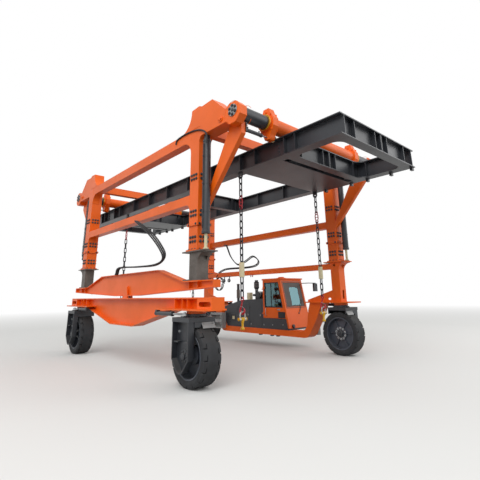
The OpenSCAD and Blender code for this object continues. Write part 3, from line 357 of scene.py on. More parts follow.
class CARRIER_OT_stage(bpy.types.Operator):
    """Makes the floor, the light and the camera."""

    bl_idname = "carrier.stage"
    bl_label = "Stage"

    # Where the floor starts to fade, and where it is as white as the sky
    FADE_FROM, FADE_TO = 14.0, 40.0
    # The floor that lights the machine from below is darker than the floor that is seen
    UNDERLIGHT = "#8F8F8D"
    SKY_LIGHT = 0.82
    # Columns: name, place, size and power
    SOFTBOXES = (
        ("softbox_key", (12.0, -16.0, 17.0), 14.0, 2600.0),
        ("softbox_fill", (14.0, 12.0, 10.0), 12.0, 700.0),
    )
    AIM = Vector((0.0, 0.0, 2.0))
    # The camera's place, its angles in degrees, its lens in millimetres and the shift of its frame
    EYE = (9.329, -6.758, 1.650)
    YAW, PITCH, ROLL = 137.582, 16.269, -1.052
    LENS, SENSOR = 27.289, 36.0
    SHIFT = (-0.01355, -0.1092)

    def execute(self, context):
        context.scene.view_settings.view_transform = "Standard"
        self.floor(context)
        self.sky(context)
        self.lamps(context)
        self.camera(context)
        return {"FINISHED"}

    def floor(self, context):
        """A pale disc that fades to the background's white far away."""
        bm = bmesh.new()
        radius = context.scene.carrier_sizes.floor_radius
        bmesh.ops.create_circle(bm, cap_ends=True, segments=96, radius=radius)
        mesh = bpy.data.meshes.new("studio_floor")
        bm.to_mesh(mesh)
        bm.free()
        disc = bpy.data.objects.new("studio_floor", mesh)
        context.scene.collection.objects.link(disc)
        mesh.materials.append(self.screed(context.scene.carrier_colours.floor))

    def screed(self, colour):
        """Pale cement screed, matt, that glows white where it fades."""
        material, tree = new_material("pale_screed")
        place = add_node(tree, "ShaderNodeTexCoord")
        distance = add_node(tree, "ShaderNodeVectorMath", {"operation": "LENGTH"},
                            {0: place.outputs["Object"]})
        fade = add_node(tree, "ShaderNodeMapRange", {"From Min": self.FADE_FROM, "From Max": self.FADE_TO},
                        {"Value": distance.outputs["Value"]})
        _, seen = seen_rays(tree)
        tint = add_node(tree, "ShaderNodeMix",
                        {"data_type": "RGBA", 6: rgba(linear(self.UNDERLIGHT)), 7: rgba(colour)},
                        {0: seen.outputs[0]})
        matt = add_node(tree, "ShaderNodeBsdfDiffuse", None, {"Color": tint.outputs[2]})
        white = add_node(tree, "ShaderNodeEmission", {"Strength": 1.0})
        far = add_node(tree, "ShaderNodeMath", {"operation": "MULTIPLY"},
                       {0: fade.outputs["Result"], 1: seen.outputs[0]})
        mixed = add_node(tree, "ShaderNodeMixShader", None,
                         {0: far.outputs[0], 1: matt.outputs[0], 2: white.outputs[0]})
        add_node(tree, "ShaderNodeOutputMaterial", None, {"Surface": mixed.outputs[0]})
        return material

    def sky(self, context):
        """An overcast sky: white where it is seen, softer where it lights."""
        world = bpy.data.worlds.new("overcast")
        context.scene.world = world
        world.use_nodes = True
        tree = world.node_tree
        tree.nodes.clear()
        rays, seen = seen_rays(tree)
        through = add_node(tree, "ShaderNodeMath", {"operation": "MAXIMUM"},
                           {0: seen.outputs[0], 1: rays.outputs["Is Transmission Ray"]})
        strength = add_node(tree, "ShaderNodeMapRange", {"To Min": self.SKY_LIGHT, "To Max": 1.0},
                            {"Value": through.outputs[0]})
        light = add_node(tree, "ShaderNodeBackground", {"Color": (1.0, 1.0, 1.0, 1.0)},
                         {"Strength": strength.outputs["Result"]})
        add_node(tree, "ShaderNodeOutputWorld", None, {"Surface": light.outputs[0]})

    def lamps(self, context):
        """One broad softbox above the camera's left shoulder and a weaker one on the cab side."""
        for name, place, size, power in self.SOFTBOXES:
            data = bpy.data.lights.new(name, "AREA")
            data.size = size
            data.energy = power
            lamp = bpy.data.objects.new(name, data)
            lamp.location = place
            lamp.rotation_euler = (self.AIM - lamp.location).to_track_quat("-Z", "Y").to_euler()
            context.scene.collection.objects.link(lamp)

    def camera(self, context):
        """A wide lens at eye height off the right front corner, tilted up as in the photograph."""
        right, up, forward = look_from(*[math.radians(angle) for angle in (self.YAW, self.PITCH, self.ROLL)])
        data = bpy.data.cameras.new("camera")
        data.sensor_fit = "HORIZONTAL"
        data.sensor_width = self.SENSOR
        data.lens = self.LENS
        data.shift_x, data.shift_y = self.SHIFT
        data.clip_end = 300.0
        camera = bpy.data.objects.new("camera", data)
        turn = Matrix((right, up, -forward)).transposed().to_4x4()
        camera.matrix_world = Matrix.Translation(self.EYE) @ turn
        context.scene.collection.objects.link(camera)
        context.scene.camera = camera


class CARRIER_OT_paintwork(bpy.types.Operator):
    """Gives each piece of the frame its finish; the rims get a slate enamel of their own."""

    bl_idname = "carrier.paintwork"
    bl_label = "Paintwork"

    def execute(self, context):
        slots = {row["node"]: row["material_slot"] for row in frame["record"]["subparts"]}
        for name, node in NODES.items():
            node.data.materials.clear()
            node.data.materials.append(finish("rim_enamel" if name.startswith("rim_") else slots[name]))
        return {"FINISHED"}


def at_corner(e, s, x=0.0, y=0.0, z=0.0):
    """The place of a corner: e is 1 in front and -1 behind, s is 1 on the left and -1 on the right."""
    return Matrix.Translation((e * x, s * y, z)) @ Matrix.Diagonal((e, s, 1, 1))


def both_ends(side):
    """The front and the rear place of one side."""
    return [at_corner(e, side) for e in (1, -1)]


FOUR_CORNERS = [at_corner(e, s) for e, s in CORNERS.values()]


def facing(direction):
    """Turns the Z axis to a direction."""
    return Vector(direction).to_track_quat("Z", "Y").to_matrix().to_4x4()


def ring_spots(count, radius, shift=0.0):
    """Points evenly round a circle. The shift is a share of the step between them."""
    turns = [2 * math.pi * (i + shift) / count for i in range(count)]
    return [(radius * math.cos(a), radius * math.sin(a)) for a in turns]


def round_points(centre, radius, start, end, count):
    """Points of an arc in a plane, from one angle to another in degrees."""
    turns = [math.radians(start + (end - start) * i / count) for i in range(count + 1)]
    return [(centre[0] + radius * math.cos(a), centre[1] + radius * math.sin(a)) for a in turns]


def laid(axis, point, level):
    """A point of a flat drawing, set across an axis at a level along it."""
    spot = list(point)
    spot.insert("XYZ".index(axis), level)
    return spot


def collar(inner, outer, length, edge, base=0.0):
    """Profile of a turned collar with broken edges."""
    return [(inner, base), (outer, base + edge), (outer, base + length - edge), (inner, base + length)]


def grown(outline, amount):
    """An outline of at least three corners moved outwards; it runs counter-clockwise."""
    moved = []
    for i, point in enumerate(outline):
        before = (Vector(point) - Vector(outline[i - 1])).normalized()
        after = (Vector(outline[(i + 1) % len(outline)]) - Vector(point)).normalized()
        first, second = Vector((before.y, -before.x)), Vector((after.y, -after.x))
        middle = (first + second).normalized()
        moved.append(tuple(Vector(point) + middle * amount / middle.dot(first)))
    return moved


def rectangle(low, high):
    """The outline between two opposite corners."""
    return [low, (high[0], low[1]), high, (low[0], high[1])]


def smooth_path(points, steps=5):
    """A soft curve through given points."""
    path = []
    ends = [Vector(point) for point in (points[0], *points, points[-1])]
    for a, b, c, d in zip(ends, ends[1:], ends[2:], ends[3:]):
        for i in range(steps):
            t = i / steps
            path.append(0.5 * (2 * b + (c - a) * t + (2 * a - 5 * b + 4 * c - d) * t ** 2
                               + (3 * b - a - 3 * c + d) * t ** 3))
    return path + [ends[-1]]


class Shape:
    """Closed solids gathered into one mesh, in metres."""

    def __init__(self):
        self.bm = bmesh.new()

    def skin(self, rings, loop=False):
        """Joins rings of points with quads and closes both ends, or the last ring to the first."""
        rings = [[self.bm.verts.new(point) for point in ring] for ring in rings]
        following = rings[1:] + rings[:1] if loop else rings[1:]
        for a, b in zip(rings, following):
            for i in range(len(a)):
                j = (i + 1) % len(a)
                self.bm.faces.new((a[i], a[j], b[j], b[i]))
        if not loop:
            self.bm.faces.new(rings[0])
            self.bm.faces.new(rings[-1])

    def prism(self, outline, axis, low, high):
        """Pushes an outline along an axis. Its points are in the other two axes, in order."""
        self.skin([[laid(axis, point, level) for point in outline] for level in (low, high)])

    def frame_band(self, outline, axis, low, high, width):
        """A band round an outline, outwards from it."""
        rings = []
        for inner, outer in zip(outline, grown(outline, width)):
            section = ((inner, low), (outer, low), (outer, high), (inner, high))
            rings.append([laid(axis, point, level) for point, level in section])
        self.skin(rings, loop=True)

    def slab(self, low, high, edge=0.003):
        """A block between two corners with its edges broken."""
        size = Vector(high) - Vector(low)
        middle = (Vector(high) + Vector(low)) / 2
        place = Matrix.Translation(middle) @ Matrix.Diagonal((*size, 1))
        made = bmesh.ops.create_cube(self.bm, size=1.0, matrix=place)
        edges = list({edge for vert in made["verts"] for edge in vert.link_edges})
        bmesh.ops.bevel(self.bm, geom=edges, offset=min(edge, min(size) / 3), segments=1, affect="EDGES")

    def turned(self, profile, at, direction=UP, steps=24, loop=False):
        """A turned part: (radius, height) points along a direction, or a closed ring of them."""
        place = Matrix.Translation(at) @ facing(direction)
        self.skin([[place @ Vector((x, y, height)) for x, y in ring_spots(steps, radius)]
                   for radius, height in profile], loop)

    def rod(self, start, end, radius, steps=16):
        """A round bar with broken edges."""
        run = Vector(end) - Vector(start)
        edge = min(0.003, radius / 4, run.length / 4)
        self.turned(collar(radius - edge, radius, run.length, edge), start, run, steps)

    def tube(self, points, radius, sides=8, loop=False):
        """A hose, pipe or bent bar along points, of one radius or of a radius for each point."""
        radii = radius if isinstance(radius, (list, tuple)) else [radius] * len(points)
        points = [Vector(point) for point in points]
        rings, normal = [], None
        for i, point in enumerate(points):
            ahead = points[(i + 1) % len(points)] if loop or i < len(points) - 1 else point
            behind = points[i - 1] if loop or i else point
            run = (ahead - behind).normalized()
            normal = run.orthogonal() if normal is None else normal - normal.dot(run) * run
            normal.normalize()
            side = run.cross(normal)
            rings.append([point + u * normal + v * side for u, v in ring_spots(sides, radii[i])])
        self.skin(rings, loop)

    def weld(self, start, end, radius=0.006):
        """A low round bead along a seam, half sunk into the plate."""
        self.tube([start, end], radius, 6)

    def bolt(self, at, direction, across):
        """A hexagon head on its washer, standing on a face."""
        point_r = across / math.sqrt(3)
        thick = across * 0.09
        head = across * 0.68
        self.turned([(across, 0), (across, thick), (across * 0.6, thick)], at, direction, 12)
        self.turned([(point_r, thick / 2), (point_r, head * 0.85), (point_r * 0.86, head)], at, direction, 6)

    def nut(self, at, direction, across, stud):
        """A hexagon nut with the end of its stud."""
        self.bolt(at, direction, across)
        length = across * 0.68 + stud
        self.turned([(stud, 0), (stud, length - 0.002), (stud - 0.002, length)], at, direction, 8)

    def spread(self, places):
        """Repeats all that is made so far at each place."""
        made = bpy.data.meshes.new("repeat")
        self.bm.to_mesh(made)
        self.bm.clear()
        for place in places:
            copy = made.copy()
            copy.transform(place)
            self.bm.from_mesh(copy)
            bpy.data.meshes.remove(copy)
        bpy.data.meshes.remove(made)
        return self

    def place(self, name, slot, body, look=None, round_off=40.0, stands_for=()):
        """Turns the solids into a piece with the look of a slot, on a body or on none."""
        bmesh.ops.recalc_face_normals(self.bm, faces=self.bm.faces)
        limit = math.radians(round_off)
        for face in self.bm.faces:
            face.smooth = True
        for edge in self.bm.edges:
            edge.smooth = edge.is_manifold and edge.calc_face_angle(math.pi) < limit
        mesh = bpy.data.meshes.new(name)
        self.bm.to_mesh(mesh)
        self.bm.free()
        piece = bpy.data.objects.new(name, mesh)
        bpy.context.scene.collection.objects.link(piece)
        mesh.materials.append(finish(look or slot))
        if body:
            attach(piece, body)
        if stands_for:
            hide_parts(*stands_for)
        return piece


class CARRIER_OT_tyres(bpy.types.Operator):
    """Moulded tyres with notched shoulders, in place of the plain ones."""

    bl_idname = "carrier.tyres"
    bl_label = "Tyres"

    # Columns: half width, radius, how far a notch sinks the point, how far it pulls it inwards,
    # and whether the short groove beside the notch runs through it
    SECTION = (
        (0.150, 0.4132, 0.000, 0.000, False), (0.176, 0.4132, 0.000, 0.000, False),
        (0.183, 0.4250, 0.000, 0.000, False), (0.196, 0.4500, 0.000, 0.000, False),
        (0.200, 0.4800, 0.000, 0.000, False), (0.1995, 0.4990, 0.000, 0.000, False),
        (0.1945, 0.5030, 0.000, 0.000, False), (0.1990, 0.5080, 0.000, 0.004, False),
        (0.1940, 0.5380, 0.006, 0.018, False), (0.1840, 0.5525, 0.020, 0.014, False),
        (0.1740, 0.5585, 0.028, 0.000, False), (0.1340, 0.5597, 0.028, 0.000, False),
        (0.1320, 0.5597, 0.028, 0.000, True), (0.1180, 0.5597, 0.028, 0.000, True),
        (0.1160, 0.5597, 0.000, 0.000, False), (0.0500, 0.5597, 0.000, 0.000, False))
    # Places round one lug, as shares of its pitch. The notch and the groove sink those numbered here
    STATIONS = (0.0, 0.012, 0.118, 0.13, 0.25, 0.375, 0.5, 0.512, 0.618, 0.63, 0.75, 0.875)
    NOTCH, GROOVE = (1, 2), (3, 4, 5)
    LUGS = 17

    def ring(self, lug, station):
        """The section at one place round the tyre. The other shoulder is half a lug behind."""
        turn = 2 * math.pi * (lug + self.STATIONS[station]) / self.LUGS
        count = len(self.STATIONS)
        points = []
        for side, section in ((1, self.SECTION), (-1, self.SECTION[::-1])):
            here = station if side > 0 else (station + count // 2) % count
            for half, radius, sink, pull, groove in section:
                notched = here in self.NOTCH or (groove and here in self.GROOVE)
                r = radius - (sink if notched else 0.0)
                y = side * (half - (pull if notched else 0.0))
                points.append((r * math.sin(turn), y, -r * math.cos(turn)))
        return points

    def execute(self, context):
        stations = range(len(self.STATIONS))
        rings = [self.ring(lug, station) for lug in range(self.LUGS) for station in stations]
        for name, (e, s) in CORNERS.items():
            tyre = Shape()
            tyre.skin(rings, loop=True)
            tyre.spread([at_corner(e, s, AXLE_X, AXLE_Y, WHEEL_R)])
            tyre.place(f"moulded_tyre_{name}", "tyre_rubber", f"wheel_{name}", round_off=28,
                       stands_for=[f"tyre_{name}"])
        return {"FINISHED"}


class CARRIER_OT_hubs(bpy.types.Operator):
    """Wheel nuts, hub caps, lock rings and valves."""

    bl_idname = "carrier.hubs"
    bl_label = "Hubs"

    # Across the wheel, from its middle: the hub's face, the cap's foot and the rim's flanges
    HUB_FACE, CAP_FOOT, FLANGE = -0.130, -0.142, 0.174
    NUTS, NUT_CIRCLE = 10, 0.140
    CAP_BOLTS, CAP_CIRCLE, CAP_STEP = 6, 0.058, 0.062

    def nuts(self, across):
        """The wheel nuts on their studs."""
        shape = Shape()
        for z, x in ring_spots(self.NUTS, self.NUT_CIRCLE):
            shape.nut((x, self.HUB_FACE, z), RIGHT, across, 0.010)
        return shape

    def cap(self):
        """A stepped hub cap with its small bolts."""
        shape = Shape()
        shape.turned([(0.098, 0.0), (0.098, 0.012), (0.084, 0.018), (0.084, 0.052), (0.072, self.CAP_STEP),
                      (0.044, 0.064), (0.040, 0.078), (0.030, 0.080)], (0, self.CAP_FOOT, 0), RIGHT, 28)
        for z, x in ring_spots(self.CAP_BOLTS, self.CAP_CIRCLE, 0.5):
            shape.bolt((x, self.CAP_FOOT - self.CAP_STEP, z), RIGHT, 0.014)
        return shape

    def lock_rings(self):
        """A spring ring on each flange of the rim, and the valve on the side of the nuts."""
        shape = Shape()
        for side in (-1, 1):
            shape.turned([(0.398, 0.0), (0.4215, 0.0), (0.4235, 0.008), (0.4180, 0.015), (0.398, 0.012)],
                         (0, side * self.FLANGE, 0), (0, side, 0), 72, loop=True)
        shape.tube([(0.372, -0.062, 0), (0.376, -0.085, 0), (0.380, -0.125, 0)], 0.006)
        return shape

    def execute(self, context):
        across = context.scene.carrier_sizes.nut_across
        for name, (e, s) in CORNERS.items():
            place = [at_corner(e, s, AXLE_X, AXLE_Y, WHEEL_R)]
            wheel = f"wheel_{name}"
            self.nuts(across).spread(place).place(f"wheel_nuts_{name}", "bright_steel", wheel)
            self.cap().spread(place).place(f"hub_cap_{name}", "black_paint", wheel)
            self.lock_rings().spread(place).place(f"lock_rings_{name}", "black_paint", wheel, "rim_enamel",
                                                  round_off=50)
        return {"FINISHED"}


class CARRIER_OT_forks(bpy.types.Operator):
    """Axle caps, bolts, rod pins, weld beads and scrapers of the four forks."""

    bl_idname = "carrier.forks"
    bl_label = "Forks"

    CHANNEL_FACE, BOX_TOP, STEER_ARM = 0.252, 1.240, 0.270
    AXLE_BOLTS, AXLE_CIRCLE = 8, 0.092
    RING_BOLTS, RING_CIRCLE, RING_R = 20, 0.214, 0.192
    # The slewing ring has no bolts within this angle of the steering arm
    ARM_GAP = math.radians(25)

    def fixings(self):
        """The axle's cap with its bolts, and the bolts of the slewing ring."""
        shape = Shape()
        shape.turned([(0.120, 0), (0.120, 0.014), (0.112, 0.020), (0.066, 0.020), (0.060, 0.046),
                      (0.048, 0.050)], (0, self.CHANNEL_FACE, WHEEL_R), LEFT, 32)
        for z, x in ring_spots(self.AXLE_BOLTS, self.AXLE_CIRCLE):
            shape.bolt((x, self.CHANNEL_FACE + 0.019, WHEEL_R + z), LEFT, 0.024)
        for x, y in ring_spots(self.RING_BOLTS, self.RING_CIRCLE, 0.5):
            if y < self.RING_CIRCLE * math.cos(self.ARM_GAP):
                shape.bolt((x, y, self.BOX_TOP), UP, 0.027)
        return shape

    def channel_bolts(self):
        """The two bolts high on the fork's channel."""
        shape = Shape()
        for x in (-0.190, 0.190):
            shape.bolt((x, self.CHANNEL_FACE, 0.985), LEFT, 0.034)
        return shape

    def rod_pin(self, across):
        """The pin of the steering rod's eye."""
        shape = Shape()
        shape.bolt((0.0, self.STEER_ARM, self.BOX_TOP + 0.075), UP, across)
        return shape

    def welds(self):
        """Beads round the slewing ring and along the edges of the fork's box."""
        shape = Shape()
        ring = ring_spots(48, self.RING_R)
        shape.tube([(x, y, self.BOX_TOP + 0.002) for x, y in ring], 0.007, 6, loop=True)
        for y in (0.2285, 0.2535):
            shape.weld((-0.275, y, self.BOX_TOP - 0.079), (0.275, y, self.BOX_TOP - 0.079))
        for x in (-0.2915, 0.2915):
            shape.weld((x, -0.236, self.BOX_TOP - 0.080), (x, 0.225, self.BOX_TOP - 0.080), 0.004)
        return shape

    def scraper(self):
        """A folded sheet on the end of the fork's box, with its back plate and bolts."""
        width = (-0.215, 0.075)
        shape = Shape()
        shape.prism([(0.296, 1.118), (0.302, 1.118), (0.338, 1.062), (0.338, 1.046), (0.332, 1.046),
                     (0.330, 1.062)], "Y", *width)
        for y in (-0.17, 0.03):
            shape.bolt((0.302, y, 1.128), AHEAD, 0.020)
        shape.prism(rectangle((0.2905, 1.108), (0.2965, 1.150)), "Y", *width)
        return shape

    def execute(self, context):
        across = context.scene.carrier_sizes.pin_across
        for name, (e, s) in CORNERS.items():
            place = [at_corner(e, s, AXLE_X, AXLE_Y)]
            fork = f"fork_{name}"
            self.fixings().spread(place).place(f"fork_fixings_{name}", "black_paint", fork)
            self.channel_bolts().spread(place).place(f"fork_bolts_{name}", "bright_steel", fork)
            self.rod_pin(across).spread(place).place(f"rod_pin_{name}", "bright_steel", f"rod_{name}")
            self.welds().spread(place).place(f"fork_welds_{name}", "black_paint", fork)
            self.scraper().spread(place).place(f"fork_scraper_{name}", "silver_paint", fork)
        return {"FINISHED"}


class CARRIER_OT_chains(bpy.types.Operator):
    """Round-wire chains with their shorteners, hooks, shackles and lugs, in place of the plain ones."""

    bl_idname = "carrier.chains"
    bl_label = "Chains"

    # The chains hang six metres apart, a little ahead of the middle of the machine
    MIDDLE, HALF_X, HALF_Y = 0.27, 3.0, 1.404
    PITCH, LINK_HALF = 0.150, 0.0476
    # Columns: height of the run's top, number of links
    RUNS = ((4.254, 3), (3.518, 13))
    SHORTENER_Z = (3.7795, 3.5422)
    EYE_Z, BOWL_Z = 1.5435, 1.3130
    PIN_Z, BOW_Z, BOW_R = 1.140, 1.2158, 0.069

    def link(self, shape, z, lengthwise, wire):
        """One oval link at a height, in the plane along the machine or across it."""
        half_w = self.LINK_HALF - wire
        half_l = self.PITCH / 2 + wire - half_w
        path = []
        for end in (1, -1):
            for i in range(7):
                a = math.radians(30 * i - 90 * end)
                out, up = -half_w * math.sin(a), end * half_l + half_w * math.cos(a)
                path.append((out, 0.0, z + up) if lengthwise else (0.0, out, z + up))
        shape.tube(path, wire, 8, loop=True)

    def links(self, wire):
        """The upper and the lower run, with every other link turned."""
        shape = Shape()
        for top, count in self.RUNS:
            for i in range(count):
                self.link(shape, top - (i + 0.5) * self.PITCH, i % 2 == 1, wire)
        return shape

    def bows(self):
        """The shackle: its bow, the bosses at its ends, and its pin with a nut and a head."""
        shape = Shape()
        low = self.PIN_Z - 0.004
        arch = [(0.0, y, self.BOW_Z + up) for y, up in round_points((0, 0), self.BOW_R, 0, 180, 14)]
        shape.tube([(0.0, self.BOW_R, low), *arch, (0.0, -self.BOW_R, low)], 0.016, 10)
        for side in (1, -1):
            shape.turned(collar(0.026, 0.031, 0.044, 0.004), (0, side * (self.BOW_R - 0.022), self.PIN_Z),
                         (0, side, 0), 18)
        shape.rod((0, -0.108, self.PIN_Z), (0, 0.108, self.PIN_Z), 0.015)
        shape.nut((0, 0.093, self.PIN_Z), LEFT, 0.030, 0.011)
        shape.turned([(0.024, 0), (0.024, 0.010), (0.018, 0.014)], (0, -0.094, self.PIN_Z), RIGHT, 18)
        return shape

    def eye(self, shape, z, radius):
        """A forged ring, in the plane along the machine."""
        shape.tube([(x, 0.0, z + up) for x, up in ring_spots(30, radius)], 0.013, 8, loop=True)

    def hooks(self):
        """A shortener between the two runs, and a forged sling hook at the lower end."""
        shape = Shape()
        high, low = self.SHORTENER_Z
        middle = (high + low) / 2
        self.eye(shape, high, 0.040)
        self.eye(shape, low, 0.040)
        for side in (-1, 1):
            thin, wide = side * 0.030, side * 0.048
            shape.tube([(thin, 0, high - 0.028), (wide, 0, high - 0.075), (wide, 0, low + 0.075),
                        (thin, 0, low + 0.028)], [0.012, 0.014, 0.014, 0.012], 8)
        shape.tube([(-0.048, 0, middle), (0.048, 0, middle)], 0.010, 8)
        self.eye(shape, self.EYE_Z, 0.041)
        throat = [(x, 0.0, z) for x, z in round_points((0, self.BOWL_Z), 0.068, 140, 405, 14)]
        shank = [(0.0, 0.0, self.EYE_Z - 0.036), (-0.010, 0.0, self.EYE_Z - 0.085), (-0.036, 0.0, 1.395)]
        radii = [0.014, 0.015, 0.018] + [0.021] * 3 + [0.025] * 6 + [0.021] * 3 + [0.018, 0.014, 0.008]
        shape.tube(shank + throat, radii, 10)
        return shape

    def latches(self):
        """The hook's sprung latch on its hinge."""
        shape = Shape()
        shape.tube([(-0.034, 0.0, 1.400), (0.046, 0.0, 1.366)], 0.007, 6)
        shape.turned(collar(0.007, 0.009, 0.044, 0.002), (-0.034, -0.022, 1.400), LEFT, 10)
        return shape

    def lugs(self):
        """A turned container lug: an eye for the pin, a waist and a foot."""
        shape = Shape()
        shape.turned([(0.034, 0.930), (0.043, 0.936), (0.045, 0.952), (0.043, 0.968), (0.028, 0.984),
                      (0.024, 1.010), (0.025, 1.050), (0.033, 1.085), (0.036, 1.112), (0.030, 1.140)],
                     (0, 0, 0))
        shape.turned(collar(0.032, 0.037, 0.096, 0.006, -0.048), (0, 0, self.PIN_Z), LEFT, 28)
        for side in (1, -1):
            shape.turned([(0.0335, 0.098), (0.036, 0.100), (0.036, 0.108), (0.028, 0.113)],
                         (0, 0, self.PIN_Z), (0, side, 0))
        return shape

    def execute(self, context):
        places = [Matrix.Translation((self.MIDDLE + e * self.HALF_X, s * self.HALF_Y, 0))
                  for e, s in CORNERS.values()]
        wire = context.scene.carrier_sizes.chain_wire
        self.links(wire).spread(places).place("round_links", "black_paint", "load_frame", "chain_steel",
                                              round_off=60, stands_for=["lift_chains"])
        self.bows().spread(places).place("shackle_bows", "bright_steel", "load_frame", "zinc_plate",
                                         round_off=50, stands_for=["shackles"])
        self.hooks().spread(places).place("sling_hooks", "red_paint", "load_frame", round_off=60,
                                          stands_for=["chain_hooks"])
        self.latches().spread(places).place("hook_latches", "bright_steel", "load_frame")
        self.lugs().spread(places).place("turned_lugs", "yellow_paint", "load_frame",
                                         stands_for=["corner_lugs"])
        return {"FINISHED"}


class CARRIER_OT_columns(bpy.types.Operator):
    """Pad screws, flange bolts, collars' bolts and weld beads of the four columns."""

    bl_idname = "carrier.columns"
    bl_label = "Columns"

    PAD_ROWS = (2.733, 3.274, 4.065)
    COLLAR_LOW, COLLAR_HIGH = 3.010, 3.070
    # Lower and upper edges of the two beams that meet the column
    BEAMS = ((3.499, 3.695), (4.955, 5.198))
    HEAD_SEAM = 5.201
    LOCKNUT = ((0.034, 0), (0.034, 0.014), (0.030, 0.017), (0.019, 0.018), (0.019, 0.028), (0.015, 0.031))

    def locknuts(self):
        """On each face: the locknuts of the guide pads, and the bolts of the flange and the collar."""
        shape = Shape()
        for turn in range(4):
            out = Matrix.Rotation(turn * math.pi / 2, 4, "Z")
            normal = out @ Vector(AHEAD)
            for z in self.PAD_ROWS:
                for i in (-1, 0, 1):
                    for j in (-1, 1):
                        shape.turned(self.LOCKNUT, out @ Vector((TUBE_HALF, i * 0.085, z + j * 0.045)),
                                     normal, 6)
            for i in (-1, 0, 1):
                shape.bolt(out @ Vector((TUBE_HALF + 0.019, i * 0.110, PORTAL_LOW + 0.028)), UP, 0.028)
            collar_z = (self.COLLAR_LOW + self.COLLAR_HIGH) / 2
            for i in (-1, 1):
                shape.bolt(out @ Vector((TUBE_HALF + 0.030, i * 0.130, collar_z)), normal, 0.028)
        return shape

    def square_bead(self, shape, z, radius=0.006):
        """A weld bead round the column."""
        half = TUBE_HALF + 0.003
        shape.tube([(half, half, z), (-half, half, z), (-half, -half, z), (half, -half, z)], radius, 6,
                   loop=True)

    def welds(self):
        """Beads at the flange, the collar, the ends of the beams and the head."""
        shape = Shape()
        self.square_bead(shape, PORTAL_LOW + 0.031, 0.007)
        self.square_bead(shape, self.COLLAR_LOW - 0.003)
        self.square_bead(shape, self.COLLAR_HIGH + 0.003)
        x = -TUBE_HALF - 0.002
        for low, high in self.BEAMS:
            for y in (TUBE_HALF - 0.220, TUBE_HALF - 0.003):
                shape.weld((x, y, low), (x, y, high))
        for y in (-TUBE_HALF - 0.001, TUBE_HALF + 0.001):
            shape.weld((-TUBE_HALF, y, self.HEAD_SEAM), (TUBE_HALF, y, self.HEAD_SEAM))
        return shape

    def execute(self, context):
        places = [at_corner(e, s, COLUMN_X, COLUMN_Y) for e, s in CORNERS.values()]
        self.locknuts().spread(places).place("pad_locknuts", "black_paint", "portal")
        self.welds().spread(places).place("column_welds", "orange_paint", "portal")
        return {"FINISHED"}


class CARRIER_OT_heads(bpy.types.Operator):
    """End caps of the guide bars, pin bosses and seams of the column heads."""

    bl_idname = "carrier.heads"
    bl_label = "Heads"

    PIN_X, PIN_Z = 4.015, 5.080
    CAP_R, CAP_THICK = 0.128, 0.018
    CAP_BOLTS, CAP_CIRCLE = 6, 0.094
    EYE_Z, EYE_R = 5.091, 0.238
    SEAM_Z = 5.203

    def caps(self):
        """A dished cover plate on the end of each guide bar."""
        shape = Shape()
        shape.turned([(self.CAP_R, 0), (self.CAP_R, 0.012), (self.CAP_R - 0.006, self.CAP_THICK),
                      (0.050, self.CAP_THICK), (0.046, 0.014)], (CROSS_X, OUTER_FACE, CROSS_Z), LEFT, 48)
        return shape

    def cap_bolts(self):
        """The cover's bolts and its middle plug."""
        shape = Shape()
        for x, z in ring_spots(self.CAP_BOLTS, self.CAP_CIRCLE, 0.5):
            shape.bolt((CROSS_X + x, OUTER_FACE + self.CAP_THICK, CROSS_Z + z), LEFT, 0.038)
        shape.turned([(0.036, 0), (0.036, 0.010), (0.030, 0.014)], (CROSS_X, OUTER_FACE + 0.014, CROSS_Z),
                     LEFT)
        return shape

    def pins(self):
        """The cantilever's pin with its keeper plate and two bolts."""
        shape = Shape()
        shape.turned([(0.062, 0), (0.062, 0.016), (0.056, 0.022), (0.034, 0.022), (0.034, 0.030),
                      (0.030, 0.034)], (self.PIN_X, OUTER_FACE, self.PIN_Z), LEFT, 32)
        shape.slab((self.PIN_X - 0.055, OUTER_FACE + 0.022, self.PIN_Z - 0.012),
                   (self.PIN_X + 0.055, OUTER_FACE + 0.030, self.PIN_Z + 0.012))
        for x in (-0.042, 0.042):
            shape.bolt((self.PIN_X + x, OUTER_FACE + 0.029, self.PIN_Z), LEFT, 0.018)
        return shape

    def welds(self):
        """Beads round the eye of the guide bar and along the foot of the head, on both faces."""
        shape = Shape()
        eye = round_points((CROSS_X - 0.017, self.EYE_Z), self.EYE_R, 30, 330, 30)
        for y in (OUTER_FACE + 0.0005, INNER_FACE - 0.0005):
            shape.tube([(x, y, z) for x, z in eye], 0.004, 6)
            shape.weld((COLUMN_X - 0.55, y, self.SEAM_Z), (COLUMN_X + 0.15, y, self.SEAM_Z), 0.005)
        return shape

    def execute(self, context):
        self.caps().spread(FOUR_CORNERS).place("guide_bar_caps", "silver_paint", "portal")
        self.cap_bolts().spread(FOUR_CORNERS).place("cap_bolts", "black_paint", "portal")
        self.pins().spread(FOUR_CORNERS).place("head_pins", "orange_paint", "portal")
        self.welds().spread(FOUR_CORNERS).place("head_welds", "orange_paint", "portal")
        return {"FINISHED"}


